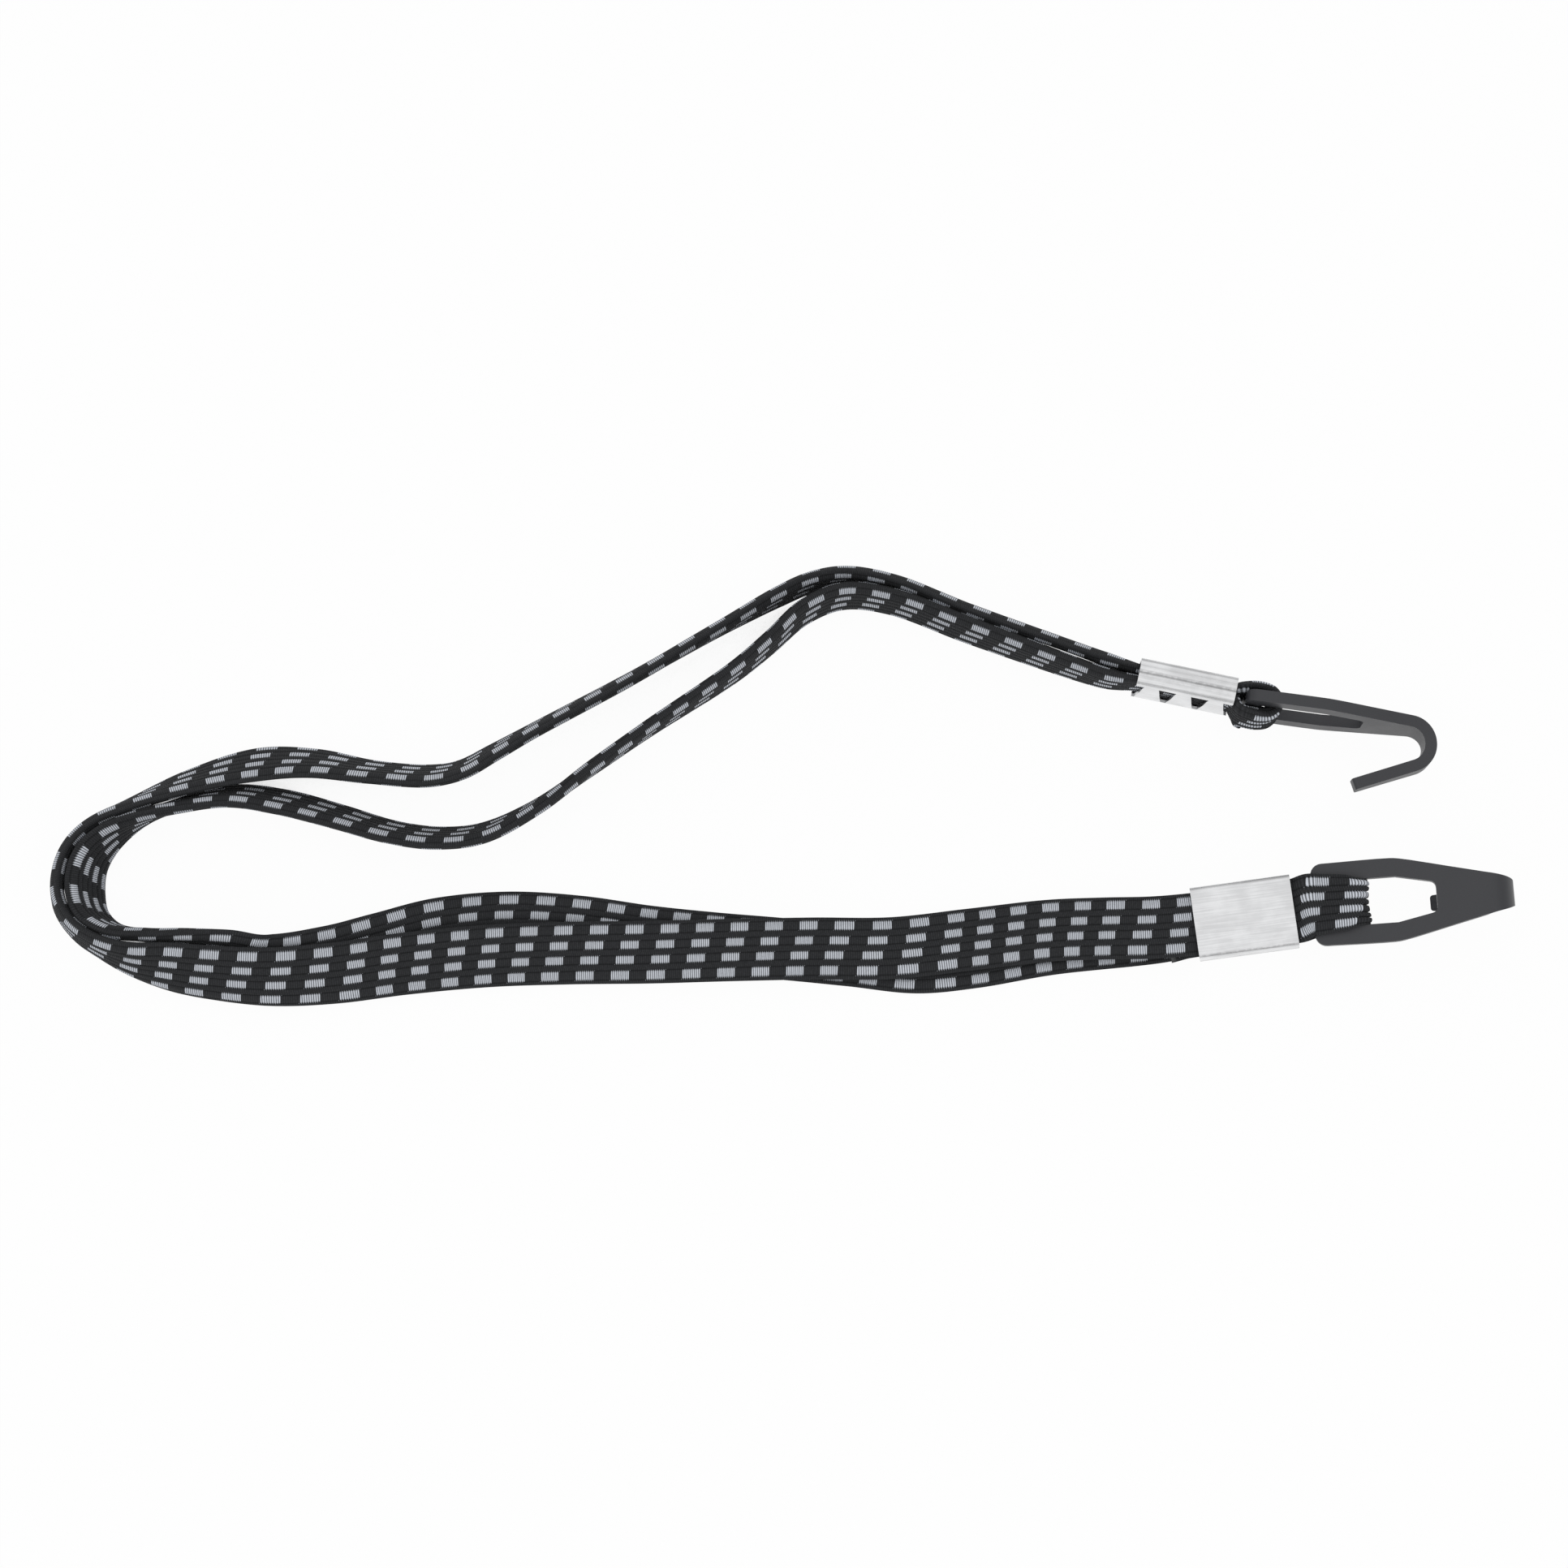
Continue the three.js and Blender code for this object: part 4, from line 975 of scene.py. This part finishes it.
def sheet_material(colours):
    """Bright sheet metal with fine lines along the ferrule and faint patches, with painted shade in its
    crease and along a corner, and dull scuffs below the crease.
    """
    tree, shader = new_material("Bright sheet")
    stretch = add_node(tree, "ShaderNodeMapping", {"Vector": woven_uv(tree), "Scale": (70.0, 2600.0, 1.0)})
    lines = noise_node(tree, stretch.outputs["Vector"], 1.0, 3.0)
    mottle = use_group(tree, "Mottle", {"Patch Scale": 160.0, "Grain Scale": 900.0})
    tone = step_node(tree, weighed(tree, 0.5, lines, mottle["Patch"]), 0.36, 0.64)
    sheet = mix_colour(tree, tone, toned(colours.sheet, 0.88), toned(colours.sheet, 1.1))
    spots = spread(tree, step_node(tree, mottle["Grain"], 0.35, 0.6), 0.4, 1.0)
    # Painted shade and scuffs: the sheet darkens in spots where the points carry them.
    painted_light_and_wear = math_node(tree, "MULTIPLY", point_value(tree, "scuff_and_shade"), spots)
    set_inputs(tree, shader, {
        "Base Color": mix_colour(tree, painted_light_and_wear, sheet, colours.sheet_scuff_and_shade),
        "Metallic": 1.0,
        "Roughness": spread(tree, lines, 0.24, 0.4),
        "Normal": bump_node(tree, lines, 0.25, 0.00006),
    })


def plastic_material(colours):
    """Dark moulded plastic with a satin skin, soft patches and a fine grain."""
    tree, shader = new_material("Dark plastic")
    mottle = use_group(tree, "Mottle", {"Patch Scale": 130.0, "Grain Scale": 2200.0})
    tone = weighed(tree, 0.35, mottle["Grain"], mottle["Patch"])
    set_inputs(tree, shader, {
        "Base Color": mix_colour(tree, tone, colours.plastic, colours.plastic_pale),
        "Roughness": spread(tree, mottle["Patch"], 0.38, 0.54),
        "Specular IOR Level": 0.4,
        "Normal": bump_node(tree, mottle["Grain"], 0.2, 0.00008),
    })


# Operators.


class STRAP_OT_finishes(bpy.types.Operator):
    """Makes the node groups and the materials that the pieces share"""

    bl_idname = "strap.finishes"
    bl_label = "Finishes"

    def execute(self, context):
        colours = context.scene.strap_colours
        mottle_group()
        weave_group()
        webbing_material(context.scene.strap_sizes, colours)
        sheet_material(colours)
        plastic_material(colours)
        return {"FINISHED"}


class STRAP_OT_webbing(bpy.types.Operator):
    """Builds the two bands, attached to the strap, and the two loops round the hooks' bars"""

    bl_idname = "strap.webbing"
    bl_label = "Webbing"

    def execute(self, context):
        sizes = context.scene.strap_sizes
        names = ("inner_band", "outer_band", "upper_loop", "lower_loop")
        for name, knots in zip(names, band_knots(sizes)):
            is_band = name.endswith("band")
            frames = strip_frames(knots, sizes.ring_step / (1 if is_band else LOOP_FINENESS))
            counts = dash_counts(frames["run"], DASH_MARKS[name])
            points, faces, corner_uv = webbing_surface(frames, counts, BACK_SHIFTS.get(name, 0.0), sizes)
            sealed = self.sealed_end(frames, sizes) if name == "lower_loop" else np.zeros(len(counts))
            values = {"sealed": np.repeat(sealed, len(points) // len(counts))}
            piece = add_piece("webbing_" + name, points, faces, "Ribbed webbing", corner_uv, values)
            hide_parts(name)
            if is_band:
                self.declare_band(piece, name, frames, sizes)
            else:
                self.turn_with_hook(piece, name, sizes)
        threads = [f"rubber_thread_{number}" for number in range(1, THREADS + 1)]
        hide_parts(*threads)
        return {"FINISHED"}

    def sealed_end(self, frames, sizes):
        """How far each ring is melted: not before the sealed length, then in a straight slope to wholly."""
        to_end = (frames["run"][-1] - frames["run"]) / sizes.sealed_length
        return np.clip(SEAL_SLOPE - SEAL_SLOPE * to_end, 0, 1)

    def declare_band(self, piece, name, frames, sizes):
        """A band rides on the strap: it is attached to the strap's body."""
        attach(piece, "strap")

    def turn_with_hook(self, piece, name, sizes):
        """A loop keeps its place: its transform is baked into its points, and it is attached to no body."""
        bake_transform(piece)


class STRAP_OT_ferrules(bpy.types.Operator):
    """Builds the two wrapped sheet ferrules with their tongues"""

    bl_idname = "strap.ferrules"
    bl_label = "Ferrules"

    def execute(self, context):
        sizes = context.scene.strap_sizes
        for name, end in (("upper_ferrule", UPPER_END), ("lower_ferrule", LOWER_END)):
            points, faces, corner_uv, scuff_and_shade = only_used(*ferrule_sheet(sizes, end["layers"]))
            origin, axes = end_frame(end)
            axes = axes @ turned(0, 0, end["sheet_roll"])
            placed = origin + points @ axes.T
            piece = add_piece("sheet_" + name, placed, faces, "Bright sheet", corner_uv, {"scuff_and_shade": scuff_and_shade})
            finish_sheet(piece, sizes.sheet_thickness, -1, SHEET_EDGE)
            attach(piece, "strap")
            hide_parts(name)
        return {"FINISHED"}


class STRAP_OT_hooks(bpy.types.Operator):
    """Builds the two plastic hooks"""

    bl_idname = "strap.hooks"
    bl_label = "Hooks"

    def execute(self, context):
        sizes = context.scene.strap_sizes
        for name, end in (("upper_hook", UPPER_END), ("lower_hook", LOWER_END)):
            points, faces, corner_uv = only_used(*hook_sheet(sizes))
            origin, axes = hook_frame(end, sizes)
            placed = origin + points @ axes.T
            piece = add_piece("moulded_" + name, placed, faces, "Dark plastic", corner_uv)
            finish_sheet(piece, sizes.plate_thickness, 0, PLATE_EDGE)
            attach(piece, name)
            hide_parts(name)
        return {"FINISHED"}


class STRAP_OT_stage(bpy.types.Operator):
    """Sets the camera, the pale floor, the lamp and the world"""

    bl_idname = "strap.stage"
    bl_label = "Stage"

    def execute(self, context):
        scene = context.scene
        scene.view_settings.view_transform = "Standard"
        self.add_camera(scene)
        self.add_floor(scene)
        self.add_lamp(scene)
        self.set_world(scene)
        return {"FINISHED"}

    def add_camera(self, scene):
        """The camera looks down at the photograph's angle, its focal length fitted over the width."""
        data = bpy.data.cameras.new("Camera")
        data.sensor_fit = "HORIZONTAL"
        data.lens = data.sensor_width * FOCAL_PIXELS / IMAGE_SIZE
        data.clip_start = NEAREST_SEEN
        camera = bpy.data.objects.new("Camera", data)
        camera.location = CAMERA_PLACE
        view = Vector(CAMERA_TARGET) - Vector(CAMERA_PLACE)
        camera.rotation_euler = view.to_track_quat("-Z", "Y").to_euler()
        scene.collection.objects.link(camera)
        scene.camera = camera

    def add_floor(self, scene):
        """A wide floor just under the strap, plain white for the most part, with its shade in gaps."""
        tree, shader = new_material("Pale floor")
        set_inputs(tree, shader, {"Base Color": (*scene.strap_colours.floor, 1.0), "Roughness": 0.9})
        paths = add_node(tree, "ShaderNodeLightPath").outputs
        seen = math_node(tree, "MAXIMUM", paths["Is Camera Ray"], paths["Is Glossy Ray"])
        gaps = add_node(tree, "ShaderNodeAmbientOcclusion", {"Distance": GAP_REACH}, samples=GAP_SAMPLES)
        bare = math_node(tree, "MULTIPLY", seen, step_node(tree, gaps.outputs["AO"], *GAP_OPENNESS))
        glow = spread(tree, paths["Is Glossy Ray"], 1.0, GLOSSY_WHITE)
        white = add_node(tree, "ShaderNodeEmission", {"Color": WHITE, "Strength": glow})
        share = math_node(tree, "MULTIPLY", bare, WHITE_SHARE)
        mixed = add_node(tree, "ShaderNodeMixShader", {0: share, 1: shader.outputs[0], 2: white.outputs[0]})
        tree.links.new(mixed.outputs[0], tree.nodes["Material Output"].inputs["Surface"])
        signs = np.array(((-1, -1), (1, -1), (1, 1), (-1, 1)))
        corners = np.column_stack((FLOOR_REACH * signs, np.full(len(signs), -FLOOR_DROP)))
        floor = add_piece("floor", corners, np.array(((0, 1, 2, 3),)), "Pale floor")

    def add_lamp(self, scene):
        """A wide square lamp overhead that shines straight down."""
        data = bpy.data.lights.new("Overhead", "AREA")
        data.size = LAMP_SIZE
        data.energy = LAMP_POWER
        lamp = bpy.data.objects.new("Overhead", data)
        lamp.location = LAMP_PLACE
        scene.collection.objects.link(lamp)

    def set_world(self, scene):
        """A plain pale world that the camera sees as white."""
        world = bpy.data.worlds.new("World")
        world.use_nodes = True
        tree = world.node_tree
        looked_at = add_node(tree, "ShaderNodeLightPath").outputs["Is Camera Ray"]
        strength = spread(tree, looked_at, WORLD_STRENGTH, 1.0)
        set_inputs(tree, tree.nodes["Background"], {"Color": WHITE, "Strength": strength})
        scene.world = world


class STRAP_PT_panel(bpy.types.Panel):
    """Lists the strap's sizes, colours and steps"""

    bl_idname = "STRAP_PT_panel"
    bl_label = "Tie-Down Strap"
    bl_space_type = "VIEW_3D"
    bl_region_type = "UI"
    bl_category = "Strap"

    def draw(self, context):
        for group in (context.scene.strap_sizes, context.scene.strap_colours):
            for name in group.__annotations__:
                self.layout.prop(group, name)
        for operator in OPERATORS:
            self.layout.operator(operator.bl_idname)


OPERATORS = (STRAP_OT_finishes, STRAP_OT_stage, STRAP_OT_webbing, STRAP_OT_ferrules, STRAP_OT_hooks)
CLASSES = (StrapSizes, StrapColours, *OPERATORS, STRAP_PT_panel)


def register():
    """Registers the classes and the scene's sizes and colours."""
    for each in CLASSES:
        bpy.utils.register_class(each)
    bpy.types.Scene.strap_sizes = PointerProperty(type=StrapSizes)
    bpy.types.Scene.strap_colours = PointerProperty(type=StrapColours)


def unregister():
    """Removes what register added."""
    del bpy.types.Scene.strap_colours
    del bpy.types.Scene.strap_sizes
    for each in reversed(CLASSES):
        bpy.utils.unregister_class(each)


def main():
    register()
    bpy.ops.strap.finishes()
    bpy.ops.strap.stage()
    bpy.ops.strap.webbing()
    bpy.ops.strap.ferrules()
    bpy.ops.strap.hooks()
    bpy.context.view_layer.update()


if __name__ == "__main__":
    main()
